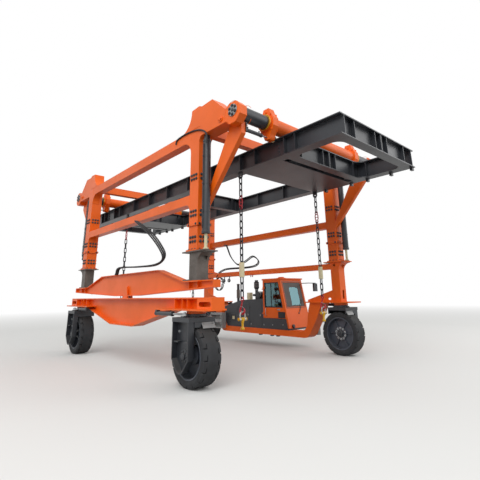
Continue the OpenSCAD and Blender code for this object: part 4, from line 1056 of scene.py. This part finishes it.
class CARRIER_OT_cylinders(bpy.types.Operator):
    """Glands, pipes and unions of the lift, side-shift and steering cylinders."""

    bl_idname = "carrier.cylinders"
    bl_label = "Cylinders"

    BARREL_R = 0.080
    LIFT_X, LIFT_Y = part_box("lift_barrels")[1].x - BARREL_R, 2.485
    LIFT_LOW, LIFT_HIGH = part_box("lift_barrels")[0].z, 4.850
    CLIPS = (3.25, 3.85, 4.45)
    STEER_Y, STEER_Z = AXLE_Y + 0.270, 1.295
    STEER_BACK, STEER_FRONT = AXLE_X - 1.080, AXLE_X - 0.420
    SHIFT_Z = CROSS_Z - 0.320

    def lift(self):
        """The lift barrel's gland and top cap, and the pipe clipped along it."""
        x, y, low, high = self.LIFT_X, self.LIFT_Y, self.LIFT_LOW, self.LIFT_HIGH
        pipe_y = y + self.BARREL_R + 0.016
        shape = Shape()
        shape.turned([(0.080, 0), (0.089, 0.004), (0.089, 0.052), (0.081, 0.058)], (x, y, low + 0.002),
                     UP, 32)
        shape.turned(collar(0.0795, 0.088, 0.042, 0.006), (x, y, high - 0.060), UP, 32)
        shape.tube(smooth_path([(x, y + 0.070, high - 0.110), (x, pipe_y, high - 0.125),
                                (x, pipe_y, high - 0.160), (x, pipe_y, 4.2), (x, pipe_y, 3.5),
                                (x, pipe_y, low + 0.170), (x, y + 0.072, low + 0.120)], 3), 0.009, 8)
        for z in self.CLIPS:
            shape.turned(collar(0.0805, 0.0845, 0.024, 0.001), (x, y, z), UP, 32)
            shape.slab((x - 0.018, y + 0.070, z), (x + 0.018, pipe_y + 0.012, z + 0.024))
        return shape

    def rod_feet(self):
        """The flange under each lift rod."""
        x, y = self.LIFT_X, self.LIFT_Y
        shape = Shape()
        shape.turned([(0.062, 0), (0.062, 0.012), (0.056, 0.016)], (x, y, PORTAL_LOW + 0.001))
        for across, along in ring_spots(4, 0.047, 0.5):
            shape.bolt((x + across, y + along, PORTAL_LOW + 0.016), UP, 0.016)
        return shape

    def gland(self, shape, at, direction, bore, length):
        """The thick end of a small cylinder."""
        shape.turned([(bore, 0), (bore + 0.007, 0.004), (bore + 0.007, length - 0.006),
                      (bore - 0.002, length)], at, direction)

    def steering(self):
        """Glands and unions of the steering barrel."""
        shape = Shape()
        for x, length in ((self.STEER_FRONT - 0.052, 0.054), (self.STEER_BACK - 0.002, 0.030)):
            self.gland(shape, (x, self.STEER_Y, self.STEER_Z), AHEAD, 0.042, length)
        for x in (self.STEER_BACK + 0.110, self.STEER_FRONT - 0.090):
            shape.turned([(0.014, 0), (0.014, 0.020), (0.017, 0.022), (0.017, 0.040), (0.010, 0.046)],
                         (x, self.STEER_Y, self.STEER_Z + 0.038), UP, 12)
        return shape

    def shift(self):
        """Glands and unions of the side-shift barrel, which starts at the inner face of the right column."""
        shape = Shape()
        for y, length in ((0.426 - INNER_FACE, 0.042), (0.022 - INNER_FACE, 0.030)):
            self.gland(shape, (CROSS_X, y, self.SHIFT_Z), LEFT, 0.038, length)
        for y in (0.075 - INNER_FACE, 0.395 - INNER_FACE):
            shape.turned([(0.012, 0), (0.012, 0.022), (0.015, 0.024), (0.015, 0.042)],
                         (CROSS_X, y, self.SHIFT_Z + 0.034), UP, 12)
        return shape

    def execute(self, context):
        self.lift().spread(FOUR_CORNERS).place("lift_cylinder_fittings", "black_paint", "portal")
        for side, body in ((1, "cab_side"), (-1, "right_side")):
            self.rod_feet().spread(both_ends(side)).place(f"lift_rod_feet_{body}", "raw_steel", body)
            self.steering().spread(both_ends(side)).place(f"steer_cylinder_fittings_{body}", "black_paint",
                                                          body)
        self.shift().spread(both_ends(1)).place("shift_cylinder_fittings", "black_paint", "portal")
        return {"FINISHED"}


class CARRIER_OT_sleeves(bpy.types.Operator):
    """Wear rings, clamp bolts and hanger fittings of the sliding sleeves."""

    bl_idname = "carrier.sleeves"
    bl_label = "Sleeves"

    BRACKET_Y, BRACKET_HALF = 1.565, 0.080
    SLEEVE_END = 1.705
    HANGER_Y = 1.4535
    CLAMP_BOLTS = ((-0.129, 0.1849), (0.129, 0.1849), (-0.1419, -0.1634), (0.1419, -0.1634), (0.0, 0.258))

    def wear_rings(self):
        """The bronze ring at the open end of the sleeve."""
        shape = Shape()
        shape.turned([(0.1515, 0), (0.182, 0), (0.184, 0.004), (0.184, 0.024), (0.180, 0.028),
                      (0.1515, 0.028)], (CROSS_X, self.SLEEVE_END - 0.004, CROSS_Z), LEFT, 48, loop=True)
        return shape

    def clamps(self):
        """Bolts and a weld bead on both faces of the bracket."""
        shape = Shape()
        for side in (-1, 1):
            face = self.BRACKET_Y + side * self.BRACKET_HALF
            for x, z in self.CLAMP_BOLTS:
                shape.bolt((CROSS_X + x, face, CROSS_Z + z), (0, side, 0), 0.034)
            shape.tube([(CROSS_X + x, face + side * 0.002, CROSS_Z + z) for x, z in ring_spots(40, 0.1735)],
                       0.006, 6, loop=True)
        return shape

    def ferrules(self):
        """The cream boss on the bracket, in line with the side-shift cylinder."""
        shape = Shape()
        shape.turned([(0.052, 0), (0.060, 0.006), (0.060, 0.030), (0.040, 0.034), (0.036, 0.052)],
                     (CROSS_X, self.BRACKET_Y - 0.085, CROSS_Z - 0.320), RIGHT, 28)
        return shape

    def eyes(self):
        """The bright ring and the bolts at the foot of the hanger."""
        shape = Shape()
        shape.turned([(0.030, 0), (0.052, 0), (0.055, 0.004), (0.052, 0.008), (0.030, 0.008)],
                     (CROSS_X, self.HANGER_Y, FRAME_TOP + 0.085), RIGHT, 28, loop=True)
        for x in (-0.070, 0.070):
            shape.bolt((CROSS_X + x, self.HANGER_Y, FRAME_TOP + 0.030), RIGHT, 0.022)
        return shape

    def execute(self, context):
        self.wear_rings().spread(FOUR_CORNERS).place("bronze_wear_rings", "yellow_paint", "load_frame",
                                                     "cast_bronze")
        self.clamps().spread(FOUR_CORNERS).place("sleeve_clamp_bolts", "orange_paint", "load_frame")
        self.ferrules().spread(FOUR_CORNERS).place("hanger_ferrules", "cream_paint", "load_frame")
        self.eyes().spread(FOUR_CORNERS).place("hanger_eyes", "bright_steel", "load_frame")
        return {"FINISHED"}


class CARRIER_OT_girders(bpy.types.Operator):
    """Splice plates with their bolts, and weld beads of the load frame's girders."""

    bl_idname = "carrier.girders"
    bl_label = "Girders"

    RIBS = (-4.990, -4.700, -3.812, -3.315, -2.200, -1.100, 0.0, 1.100, 2.200, 3.315, 3.812, 4.700, 4.990)
    GIRDER_Y, WEB_HALF, HALF_L, DEPTH = 1.355, 0.008, 6.09, 0.422
    SPLICE_X, SPLICE_THICK = 4.55, 0.012

    def splices(self, low, top):
        """A plate on each side of the web, with two columns of four bolts."""
        shape = Shape()
        for x in (-self.SPLICE_X, self.SPLICE_X):
            for side in (1, -1):
                y = self.GIRDER_Y + side * self.WEB_HALF
                face = y + side * self.SPLICE_THICK
                shape.slab((x - 0.10, min(y, face), low + 0.050), (x + 0.10, max(y, face), top - 0.050))
                for dx in (-0.065, 0.065):
                    for row in range(4):
                        shape.bolt((x + dx, face, low + 0.090 + row * 0.080), (0, side, 0), 0.028)
        return shape

    def welds(self, low, top):
        """Beads on both sides of each rib, and along the web where it meets the flanges."""
        shape = Shape()
        for x in self.RIBS:
            for side in (1, -1):
                y = self.GIRDER_Y + side * 0.011
                for edge in (-0.009, 0.009):
                    shape.weld((x + edge, y, low + 0.026), (x + edge, y, top - 0.026), 0.004)
        for side in (1, -1):
            y = self.GIRDER_Y + side * 0.0105
            for z in (low + 0.0245, top - 0.0245):
                shape.weld((-self.HALF_L, y, z), (self.HALF_L, y, z), 0.005)
        return shape

    def execute(self, context):
        low = FRAME_TOP - self.DEPTH
        both_girders = [at_corner(1, 1), at_corner(1, -1)]
        splices, welds = self.splices(low, FRAME_TOP), self.welds(low, FRAME_TOP)
        splices.spread(both_girders).place("girder_splices", "black_paint", "load_frame")
        welds.spread(both_girders).place("girder_welds", "black_paint", "load_frame")
        return {"FINISHED"}


class CARRIER_OT_cab(bpy.types.Operator):
    """Window seals, windscreen frame, wiper, door fittings, seat and steering wheel of the cab."""

    bl_idname = "carrier.cab"
    bl_label = "Cab"

    LOW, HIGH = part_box("cab_frame")
    # Faces of the door's side and of the far side
    FACE, BACK = 2.2725, HIGH.y
    # The front face leans back by this much from the cab's floor to its roof
    LEAN = 0.320
    FRONT_NORMAL = (1, 0, 0.2)
    # The windscreen's frame lies in two layers. Columns: how far it is sunk, then its inner and its outer
    # edge, each as least and greatest Y and Z
    SCREEN = (
        (0.012, (2.636, 3.071, 1.271, 1.834), (2.3635, 3.2415, 1.2215, 1.9835)),
        (-0.006, (2.345, 3.260, 1.204, 2.001), (2.328, 3.277, 1.187, 2.018)))
    SEAT_Y = middle("cab_seat").y
    # Foot, cushion, back and headrest of the seat, and the steering column.
    # Columns: least and greatest X, half width, least and greatest Z, how far the edges are rounded
    SEAT = (
        (0.330, 0.650, 0.180, 0.631, 0.960, 0.020),
        (0.280, 0.778, 0.250, 0.958, 1.078, 0.045),
        (0.232, 0.338, 0.230, 1.040, 1.560, 0.045),
        (0.240, 0.320, 0.110, 1.545, 1.636, 0.030),
        (0.890, 1.009, 0.060, 0.631, 1.180, 0.015))
    STEER_R = 0.150

    def on_front(self, y, z, proud):
        """A point that stands proud of the sloping front face."""
        share = (z - self.LOW.z) / (self.HIGH.z - self.LOW.z)
        return Vector((self.HIGH.x - self.LEAN * share + proud, y, z))

    def pane(self, rear):
        """The outline of a side window, whose front edge leans with the cab."""
        return [(rear, 1.220), (1.0347, 1.220), (0.8704, 1.985), (rear, 1.985)]

    def windscreen(self):
        """A dark frame as wide as the opening, round the panes that the photograph shows."""
        shape = Shape()
        for sink, inner, outer in self.SCREEN:
            section = ((inner, sink), (outer, sink), (outer, sink + 0.006), (inner, sink + 0.006))
            rings = []
            for i, j in ((0, 2), (1, 2), (1, 3), (0, 3)):
                rings.append([self.on_front(edge[i], edge[j], -depth) for edge, depth in section])
            shape.skin(rings, loop=True)
        shape.place("windscreen_frame", "black_paint", "cab_side", "frame_enamel")

    def wiper(self):
        """The wiper with its motor's cap, and the round lamp below the windscreen."""
        foot, tip = self.on_front(2.863, 1.020, 0.022), self.on_front(3.137, 1.400, 0.016)
        middle = foot.lerp(tip, 0.62)
        blade = (tip - foot).normalized() * 0.22
        shape = Shape()
        shape.turned([(0.022, 0), (0.022, 0.016), (0.014, 0.024)], foot - Vector((0.022, 0, 0)),
                     self.FRONT_NORMAL, 16)
        shape.tube([foot, foot.lerp(middle, 0.5) + Vector((0.010, 0, 0)), middle], 0.006)
        shape.tube([middle - blade, middle + blade], 0.008, 6)
        shape.turned([(0.055, 0), (0.060, 0.006), (0.060, 0.040), (0.050, 0.050), (0.030, 0.054)],
                     self.on_front(2.460, 0.642, -0.004), self.FRONT_NORMAL)
        shape.place("wiper_and_lamp", "black_paint", "cab_side")

    def door(self):
        """The door's window seal with its sliding bar, the lock's plate, the pull and the grab handle."""
        face = self.FACE
        pane = self.pane(0.255)
        seals = Shape()
        seals.frame_band(pane, "Y", face - 0.006, face + 0.004, 0.016)
        seals.frame_band(grown(pane, -0.0175), "Y", face - 0.003, face + 0.014, 0.017)
        seals.slab((0.530, face + 0.006, 1.222), (0.556, face + 0.030, 1.983))
        seals.slab((0.842, face - 0.005, 0.888), (1.145, face + 0.001, 1.075))
        seals.place("door_seals", "black_paint", "cab_door", "tyre_rubber")
        pull = Shape()
        pull.turned([(0.030, 0), (0.030, 0.010), (0.022, 0.016)], (0.905, face, 1.140), RIGHT, 20)
        pull.slab((0.820, face - 0.030, 1.128), (0.912, face - 0.014, 1.152), 0.006)
        grip = [(0.320, face, 0.960), (0.320, face - 0.045, 0.975), (0.320, face - 0.045, 1.165),
                (0.320, face, 1.180)]
        pull.tube(smooth_path(grip, 4), 0.010)
        pull.place("door_handles", "bright_steel", "cab_door")

    def seat(self):
        """The padded seat with its bolsters, and the steering column."""
        y = self.SEAT_Y
        shape = Shape()
        for rear, front, half, low, high, edge in self.SEAT:
            shape.slab((rear, y - half, low), (front, y + half, high), edge)
        for bolster in (y - 0.250, y + 0.160):
            shape.slab((0.300, bolster, 1.060), (0.760, bolster + 0.090, 1.106), 0.022)
        shape.place("driver_seat", "seat_vinyl", "cab_side", stands_for=("cab_seat",))

    def steering_wheel(self):
        """A three-spoked wheel, tilted towards the seat."""
        tilt = Matrix.Translation((0.900, self.SEAT_Y, 1.235)) @ facing((-0.55, 0, 0.84))
        shape = Shape()
        rim = [tilt @ Vector((x, y, 0)) for x, y in ring_spots(36, self.STEER_R)]
        shape.tube(rim, 0.013, 8, loop=True)
        for x, y in ring_spots(3, self.STEER_R, 0.75):
            shape.tube([tilt @ Vector((0, 0, -0.012)), tilt @ Vector((x, y, 0))], 0.010, 6)
        shape.tube([tilt @ Vector((0, 0, 0.012)), (0.950, self.SEAT_Y, 1.160)], 0.024, 12)
        shape.place("steering_wheel", "black_paint", "cab_side")

    def seals(self):
        """Rubber seals of the far side's window and of the rear one."""
        shape = Shape()
        shape.frame_band(self.pane(0.280), "Y", self.BACK - 0.004, self.BACK + 0.006, 0.018)
        shape.frame_band(rectangle((2.3925, 1.550), (3.2125, 1.950)), "X", 0.164, 0.174, 0.018)
        shape.place("cab_seals", "black_paint", "cab_side", "tyre_rubber")

    def execute(self, context):
        self.windscreen()
        self.wiper()
        self.door()
        self.seat()
        self.steering_wheel()
        self.seals()
        return {"FINISHED"}


class CARRIER_OT_hood(bpy.types.Operator):
    """Doors, louvres, latches, exhaust cap and clamps of the engine hood."""

    bl_idname = "carrier.hood"
    bl_label = "Hood"

    # Faces on the side of the load, on the skirt below it, and on the side away from the load
    FACE, SKIRT, BACK = 2.2775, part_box("engine_hood")[0].y, 3.2375
    # Sheets towards the load. Columns: least and greatest X, least and greatest Z
    SHEETS = ((-1.120, -0.520, 0.600, 1.330), (-0.500, 0.090, 0.600, 1.380), (-1.720, -1.140, 1.000, 1.190))
    # Doors away from the load. Columns: least and greatest X, greatest Z
    OUTER_DOORS = ((-1.650, -0.950, 1.200), (-0.920, 0.080, 1.380))
    STACK = (-1.450, 2.5775, 0)
    INTAKE = (-0.450, 2.5775, 1.466)

    def hinge(self, shape, x, y, z):
        """A rolled hinge, from a height upwards."""
        shape.turned(collar(0.010, 0.012, 0.080, 0.002), (x, y, z), UP, 12)

    def latch(self, shape, x, face, z, side):
        """A round plate with its turned handle, on a face that looks to one side."""
        shape.turned([(0.026, 0), (0.026, 0.006), (0.018, 0.010)], (x, face, z), (0, side, 0), 20)
        near, far = sorted((face + side * 0.007, face + side * 0.027))
        shape.slab((x - 0.006, near, z - 0.035), (x + 0.006, far, z + 0.035))

    def inner_side(self):
        """Sheets, a louvred grille, hinges and clips on the side of the load."""
        face = self.FACE
        shape = Shape()
        for rear, front, low, high in self.SHEETS:
            shape.slab((rear, face - 0.007, low), (front, face + 0.001, high))
        shape.frame_band(rectangle((-1.655, 0.705), (-1.295, 0.940)), "Y", face - 0.006, face + 0.001, 0.024)
        for i in range(4):
            z = 0.722 + 0.060 * i
            shape.prism([(face - 0.014, z), (face + 0.001, z + 0.016), (face + 0.001, z + 0.019),
                         (face - 0.014, z + 0.003)], "X", -1.638, -1.312)
        for x in (-1.110, -0.490):
            for z in (0.680, 1.170):
                self.hinge(shape, x, face - 0.008, z)
        for x in (-0.065, 0.469, 0.735):
            shape.slab((x - 0.045, 2.300, 0.325), (x + 0.045, 2.400, 0.367))
        shape.place("hood_doors", "black_paint", "cab_side")

    def outer_side(self):
        """Two louvred doors with hinges and latches on the side away from the load."""
        face = self.BACK
        sheets, latches = Shape(), Shape()
        for rear, front, top in self.OUTER_DOORS:
            sheets.slab((rear, face - 0.001, 0.620), (front, face + 0.007, top))
            for i in range(5):
                z = 0.760 + 0.060 * i
                sheets.prism([(face + 0.020, z), (face + 0.006, z + 0.018), (face + 0.006, z + 0.022),
                              (face + 0.022, z + 0.003)], "X", rear + 0.120, front - 0.120)
            for z in (0.700, top - 0.160):
                self.hinge(sheets, rear + 0.012, face + 0.008, z)
            self.latch(latches, front - 0.060, face + 0.007, 1.110, 1)
        sheets.place("outer_hood_doors", "black_paint", "cab_side")
        latches.place("outer_hood_latches", "bright_steel", "cab_side")

    def inner_latches(self):
        """Latches and bolts on the side of the load."""
        shape = Shape()
        shape.bolt((-0.433, self.FACE - 0.007, 0.655), RIGHT, 0.022)
        for x, z in ((0.200, 0.662), (0.591, 0.672), (1.044, 0.688)):
            shape.bolt((x, self.SKIRT, z), RIGHT, 0.022)
        for x in (-0.580, 0.030):
            self.latch(shape, x, self.FACE - 0.007, 0.950, -1)
        shape.place("hood_latches", "bright_steel", "cab_side")

    def plate_and_box(self):
        """A blank plate on the hood's side and a small box on its top."""
        shape = Shape()
        shape.slab((-1.430, self.FACE - 0.016, 0.780), (-1.305, self.FACE - 0.0135, 0.890), 0.001)
        shape.slab((-0.800, 2.420, 1.443), (-0.640, 2.560, 1.690), 0.008)
        shape.place("blank_plate_and_box", "cream_paint", "cab_side")

    def exhaust(self):
        """The rolled mouth, the heat shield and its two straps."""
        shape = Shape()
        shape.turned([(0.052, 1.985), (0.058, 1.985), (0.058, 2.010), (0.049, 2.014)], self.STACK, UP, 28)
        shape.turned(collar(0.0505, 0.064, 0.300, 0.003, 1.500), self.STACK, UP, 28, loop=True)
        for z in (1.530, 1.765):
            shape.turned(collar(0.0635, 0.068, 0.018, 0.002, z), self.STACK, UP, 28, loop=True)
        shape.place("exhaust_shield", "raw_steel", "cab_side")

    def air_cleaner_clamps(self):
        """Clamps round the filter and the intake pipe, and the ribs of the rain cap."""
        shape = Shape()
        for y in (2.430, 2.690):
            shape.turned(collar(0.1075, 0.113, 0.028, 0.002), (-0.225, y, 1.615), LEFT, 36, loop=True)
        for z in (0.150, 0.310):
            shape.turned(collar(0.0545, 0.060, 0.018, 0.002, z), self.INTAKE, UP, 28, loop=True)
        for z in (0.415, 0.470, 0.525):
            shape.turned([(0.0915, z), (0.0945, z + 0.004), (0.0915, z + 0.008)], self.INTAKE, UP, 32,
                         loop=True)
        shape.place("air_cleaner_clamps", "silver_paint", "cab_side", "zinc_plate")

    def execute(self, context):
        self.inner_side()
        self.outer_side()
        self.inner_latches()
        self.plate_and_box()
        self.exhaust()
        self.air_cleaner_clamps()
        return {"FINISHED"}


class CARRIER_OT_hoses(bpy.types.Operator):
    """Hydraulic hoses between the portal and both sides, the one over a head, and a coil."""

    bl_idname = "carrier.hoses"
    bl_label = "Hoses"

    # Routes of the hoses: X and Z
    LEFT_ROUTE = ((-1.97, 3.505), (-1.82, 3.46), (-1.57, 3.04), (-1.17, 2.72), (-0.74, 2.80), (-0.33, 2.95),
                  (-0.05, 2.77), (-0.20, 2.62), (-0.75, 2.58), (-1.83, 2.59), (-2.30, 2.47))
    RIGHT_ROUTE = ((0.562, 3.505), (1.350, 3.120), (1.861, 2.753), (2.061, 2.488), (1.724, 2.320),
                   (0.836, 2.326), (-0.202, 2.365), (-0.371, 2.230), (-0.400, 2.190))
    HEAD_ROUTE = ((2.330, 5.060), (2.402, 5.167), (2.780, 5.185), (3.177, 5.134), (3.439, 5.030),
                  (3.560, 4.890), (3.562, 4.700))
    HEAD_Y = -2.600
    # Each hose of a bundle sags below the one before it, between these heights
    SAG, FREE_LOW, FREE_HIGH = 0.030, 2.40, 3.45
    COIL_X, COIL_Y, COIL_Z, COIL_R = -2.090, 2.225, 2.030, 0.235
    COIL_TAIL = ((-2.300, 2.338, 2.470), (-2.350, 2.300, 2.400), (-2.335, 2.235, 2.250),
                 (-1.870, 2.228, 2.060))

    def bundle(self, name, route, ys, body, start, end):
        """Hoses side by side, bent between a side body and the portal."""
        radius = bpy.context.scene.carrier_sizes.hose_radius
        shape = Shape()
        for i, y in enumerate(ys):
            sag = self.SAG * i
            points = [(x, y, z - sag if self.FREE_LOW < z < self.FREE_HIGH else z) for x, z in route]
            shape.tube(smooth_path(points), radius, 10)
        piece = shape.place(name, "black_paint", None, "tyre_rubber", round_off=60)
        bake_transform(piece)

    def coil_point(self, turn):
        """A point of the coil, whose turns lie a little unevenly."""
        radius = self.COIL_R + 0.012 * math.sin(2.3 * turn)
        return (self.COIL_X + radius * math.cos(turn), self.COIL_Y - 0.018 * turn / math.pi,
                self.COIL_Z + self.COIL_R * math.sin(turn))

    def execute(self, context):
        self.bundle("left_hoses", self.LEFT_ROUTE, (2.300, 2.338), "cab_side",
                    (-1.0, 2.32, 2.48), (-1.0, 2.32, 3.48))
        self.bundle("right_hoses", self.RIGHT_ROUTE, (-2.600, -2.632, -2.664), "right_side",
                    (0.8, -2.63, 2.36), (0.8, -2.63, 3.48))
        radius = context.scene.carrier_sizes.hose_radius
        head = Shape()
        head.tube(smooth_path([(x, self.HEAD_Y, z) for x, z in self.HEAD_ROUTE]), radius, 10)
        head.place("head_hose", "black_paint", "portal", "tyre_rubber", round_off=60)
        coil = Shape()
        coil.tube([self.coil_point(math.radians(18 * i)) for i in range(61)], radius * 0.7, 8)
        coil.tube(smooth_path(self.COIL_TAIL), radius * 0.7, 8)
        coil.place("hose_coil", "black_paint", "cab_side", "tyre_rubber", round_off=60)
        return {"FINISHED"}


class CARRIER_OT_trims(bpy.types.Operator):
    """Weld lines, seat bolts, step treads, lamps, bracket and pivot cap of the two side frames."""

    bl_idname = "carrier.trims"
    bl_label = "Side Trims"

    SILL_FACE = 2.2675
    WELD_R = 0.005
    # The bolts stand under the deck that carries the column
    DECK_LOW = PORTAL_LOW - 0.0285
    LAMPS_X, LAMP_Z = (-1.870, -1.570), 2.140
    PIVOT_Z = 1.800
    # Inner faces of the right side's rocker and of its lower beam
    ROCKER_FACE, BEAM_FACE = -AXLE_Y + 0.085, -AXLE_Y + 0.150

    def left_welds(self):
        """Seams of the sill's legs and webs, mirrored from front to rear."""
        face, radius = self.SILL_FACE, self.WELD_R
        shape = Shape()
        shape.weld((1.855, face, 0.612), (1.976, face, 0.467), radius)
        shape.weld((2.060, face, 1.150), (2.330, face, 0.905), radius)
        for x in (-1.700, 1.700):
            shape.weld((x, face, 0.366), (x, face, 0.538), radius)
        shape.spread([Matrix.Identity(4), Matrix.Diagonal((-1, 1, 1, 1))])
        shape.place("left_welds", "orange_paint", "cab_side")

    def seat_bolts(self):
        """Ten bolts on the side of the column that faces the middle, and four on the other."""
        shape = Shape()
        for columns, rows in (((-0.300, -0.255), (-0.150, -0.075, 0.0, 0.075, 0.150)),
                              ((0.280, 0.330), (-0.150, 0.150))):
            for x in columns:
                for y in rows:
                    shape.bolt((x, y, self.DECK_LOW), DOWN, 0.022)
        shape.spread([at_corner(e, 1, COLUMN_X, COLUMN_Y) for e in (1, -1)])
        shape.place("left_seat_bolts", "silver_paint", "cab_side", "zinc_plate")

    def treads(self):
        """Raised bars on the two steps, and a grab rail at each end."""
        shape = Shape()
        for z in (0.504, 0.764):
            for i in range(9):
                x = -2.455 + 0.070 * i
                shape.slab((x, 2.085, z - 0.0005), (x + 0.040, 2.262, z + 0.004), 0.002)
        for x in (-2.475, -1.845):
            rail = [(x, 2.070, 0.600), (x, 2.040, 0.620), (x, 2.040, 0.900), (x, 2.070, 0.920)]
            shape.tube(smooth_path(rail, 4), 0.009)
        shape.place("step_treads", "silver_paint", "cab_side", "zinc_plate")

    def lamps(self):
        """Two work lamps under their bar, and their lenses."""
        shells, lenses = Shape(), Shape()
        shells.slab((-1.930, 2.225, 2.275), (-1.520, 2.290, 2.291))
        for x in self.LAMPS_X:
            shells.slab((x - 0.012, 2.235, 2.190), (x + 0.012, 2.265, 2.282))
            shells.turned([(0.030, 0), (0.066, 0.040), (0.066, 0.078), (0.058, 0.082)],
                          (x, 2.280, self.LAMP_Z), RIGHT)
            lenses.turned([(0.052, 0), (0.052, 0.004), (0.030, 0.008)], (x, 2.199, self.LAMP_Z), RIGHT)
        shells.place("work_lamps", "black_paint", "cab_side")
        lenses.place("lamp_lenses", "silver_paint", "cab_side")

    def bracket(self):
        """The red cheeks on the tie beam."""
        shape = Shape()
        for x in (-0.443, -0.353):
            shape.slab((x, 2.278, 2.215), (x + 0.040, 2.292, 2.300))
        shape.place("tie_bracket", "red_paint", "cab_side")

    def pivot_cap(self):
        """The cap on the rocker beam's pivot, with its bolts."""
        shape = Shape()
        shape.turned([(0.078, 0), (0.078, 0.010), (0.064, 0.018), (0.040, 0.020)],
                     (0, -AXLE_Y + 0.075, self.PIVOT_Z), LEFT, 32)
        for x, z in ring_spots(6, 0.055):
            shape.bolt((x, -AXLE_Y + 0.092, self.PIVOT_Z + z), LEFT, 0.014)
        shape.place("rocker_pivot_cap", "black_paint", "right_side")

    def right_welds(self):
        """Upright seams of the rocker and of the lower beam, in front and behind."""
        # Columns: X, the face, lower and upper end
        seams = (
            (1.650, self.ROCKER_FACE, 1.700, 1.900), (2.750, self.ROCKER_FACE, 1.700, 1.900),
            (AXLE_X - 1.150, self.BEAM_FACE, 1.270, 1.580), (0.640, self.BEAM_FACE, 0.975, 1.580))
        shape = Shape()
        for e in (1, -1):
            for x, face, low, high in seams:
                shape.weld((e * x, face, low), (e * x, face, high), self.WELD_R)
        shape.place("right_welds", "orange_paint", "right_side")

    def execute(self, context):
        self.left_welds()
        self.seat_bolts()
        self.treads()
        self.lamps()
        self.bracket()
        self.pivot_cap()
        self.right_welds()
        return {"FINISHED"}


# Button order of the panel, and the order in which main makes the pieces
STEPS = ("stage", "paintwork", "tyres", "hubs", "forks", "chains", "columns", "heads", "cylinders",
         "sleeves", "girders", "cab", "hood", "hoses", "trims")


class CARRIER_PT_panel(bpy.types.Panel):
    """Lists the stage, the finishes and every group of fittings."""

    bl_idname = "CARRIER_PT_panel"
    bl_label = "Straddle Carrier"
    bl_space_type = "VIEW_3D"
    bl_region_type = "UI"
    bl_category = "Carrier"

    def draw(self, context):
        for group in (context.scene.carrier_sizes, context.scene.carrier_colours):
            for key in group.__annotations__:
                self.layout.prop(group, key)
        for step in STEPS:
            self.layout.operator(f"carrier.{step}")


CLASSES = (CarrierSizes, CarrierColours, CARRIER_OT_stage, CARRIER_OT_paintwork,
           CARRIER_OT_tyres, CARRIER_OT_hubs, CARRIER_OT_forks, CARRIER_OT_chains,
           CARRIER_OT_columns, CARRIER_OT_heads, CARRIER_OT_cylinders, CARRIER_OT_sleeves,
           CARRIER_OT_girders, CARRIER_OT_cab, CARRIER_OT_hood, CARRIER_OT_hoses,
           CARRIER_OT_trims, CARRIER_PT_panel)


def register():
    """Makes the classes and the two groups of properties known to the program."""
    for item in CLASSES:
        bpy.utils.register_class(item)
    bpy.types.Scene.carrier_sizes = PointerProperty(type=CarrierSizes)
    bpy.types.Scene.carrier_colours = PointerProperty(type=CarrierColours)


def unregister():
    """Takes back what register did."""
    del bpy.types.Scene.carrier_colours
    del bpy.types.Scene.carrier_sizes
    for item in reversed(CLASSES):
        bpy.utils.unregister_class(item)


def main():
    """Runs every step in order."""
    register()
    for step in STEPS:
        getattr(bpy.ops.carrier, step)()


if __name__ == "__main__":
    main()
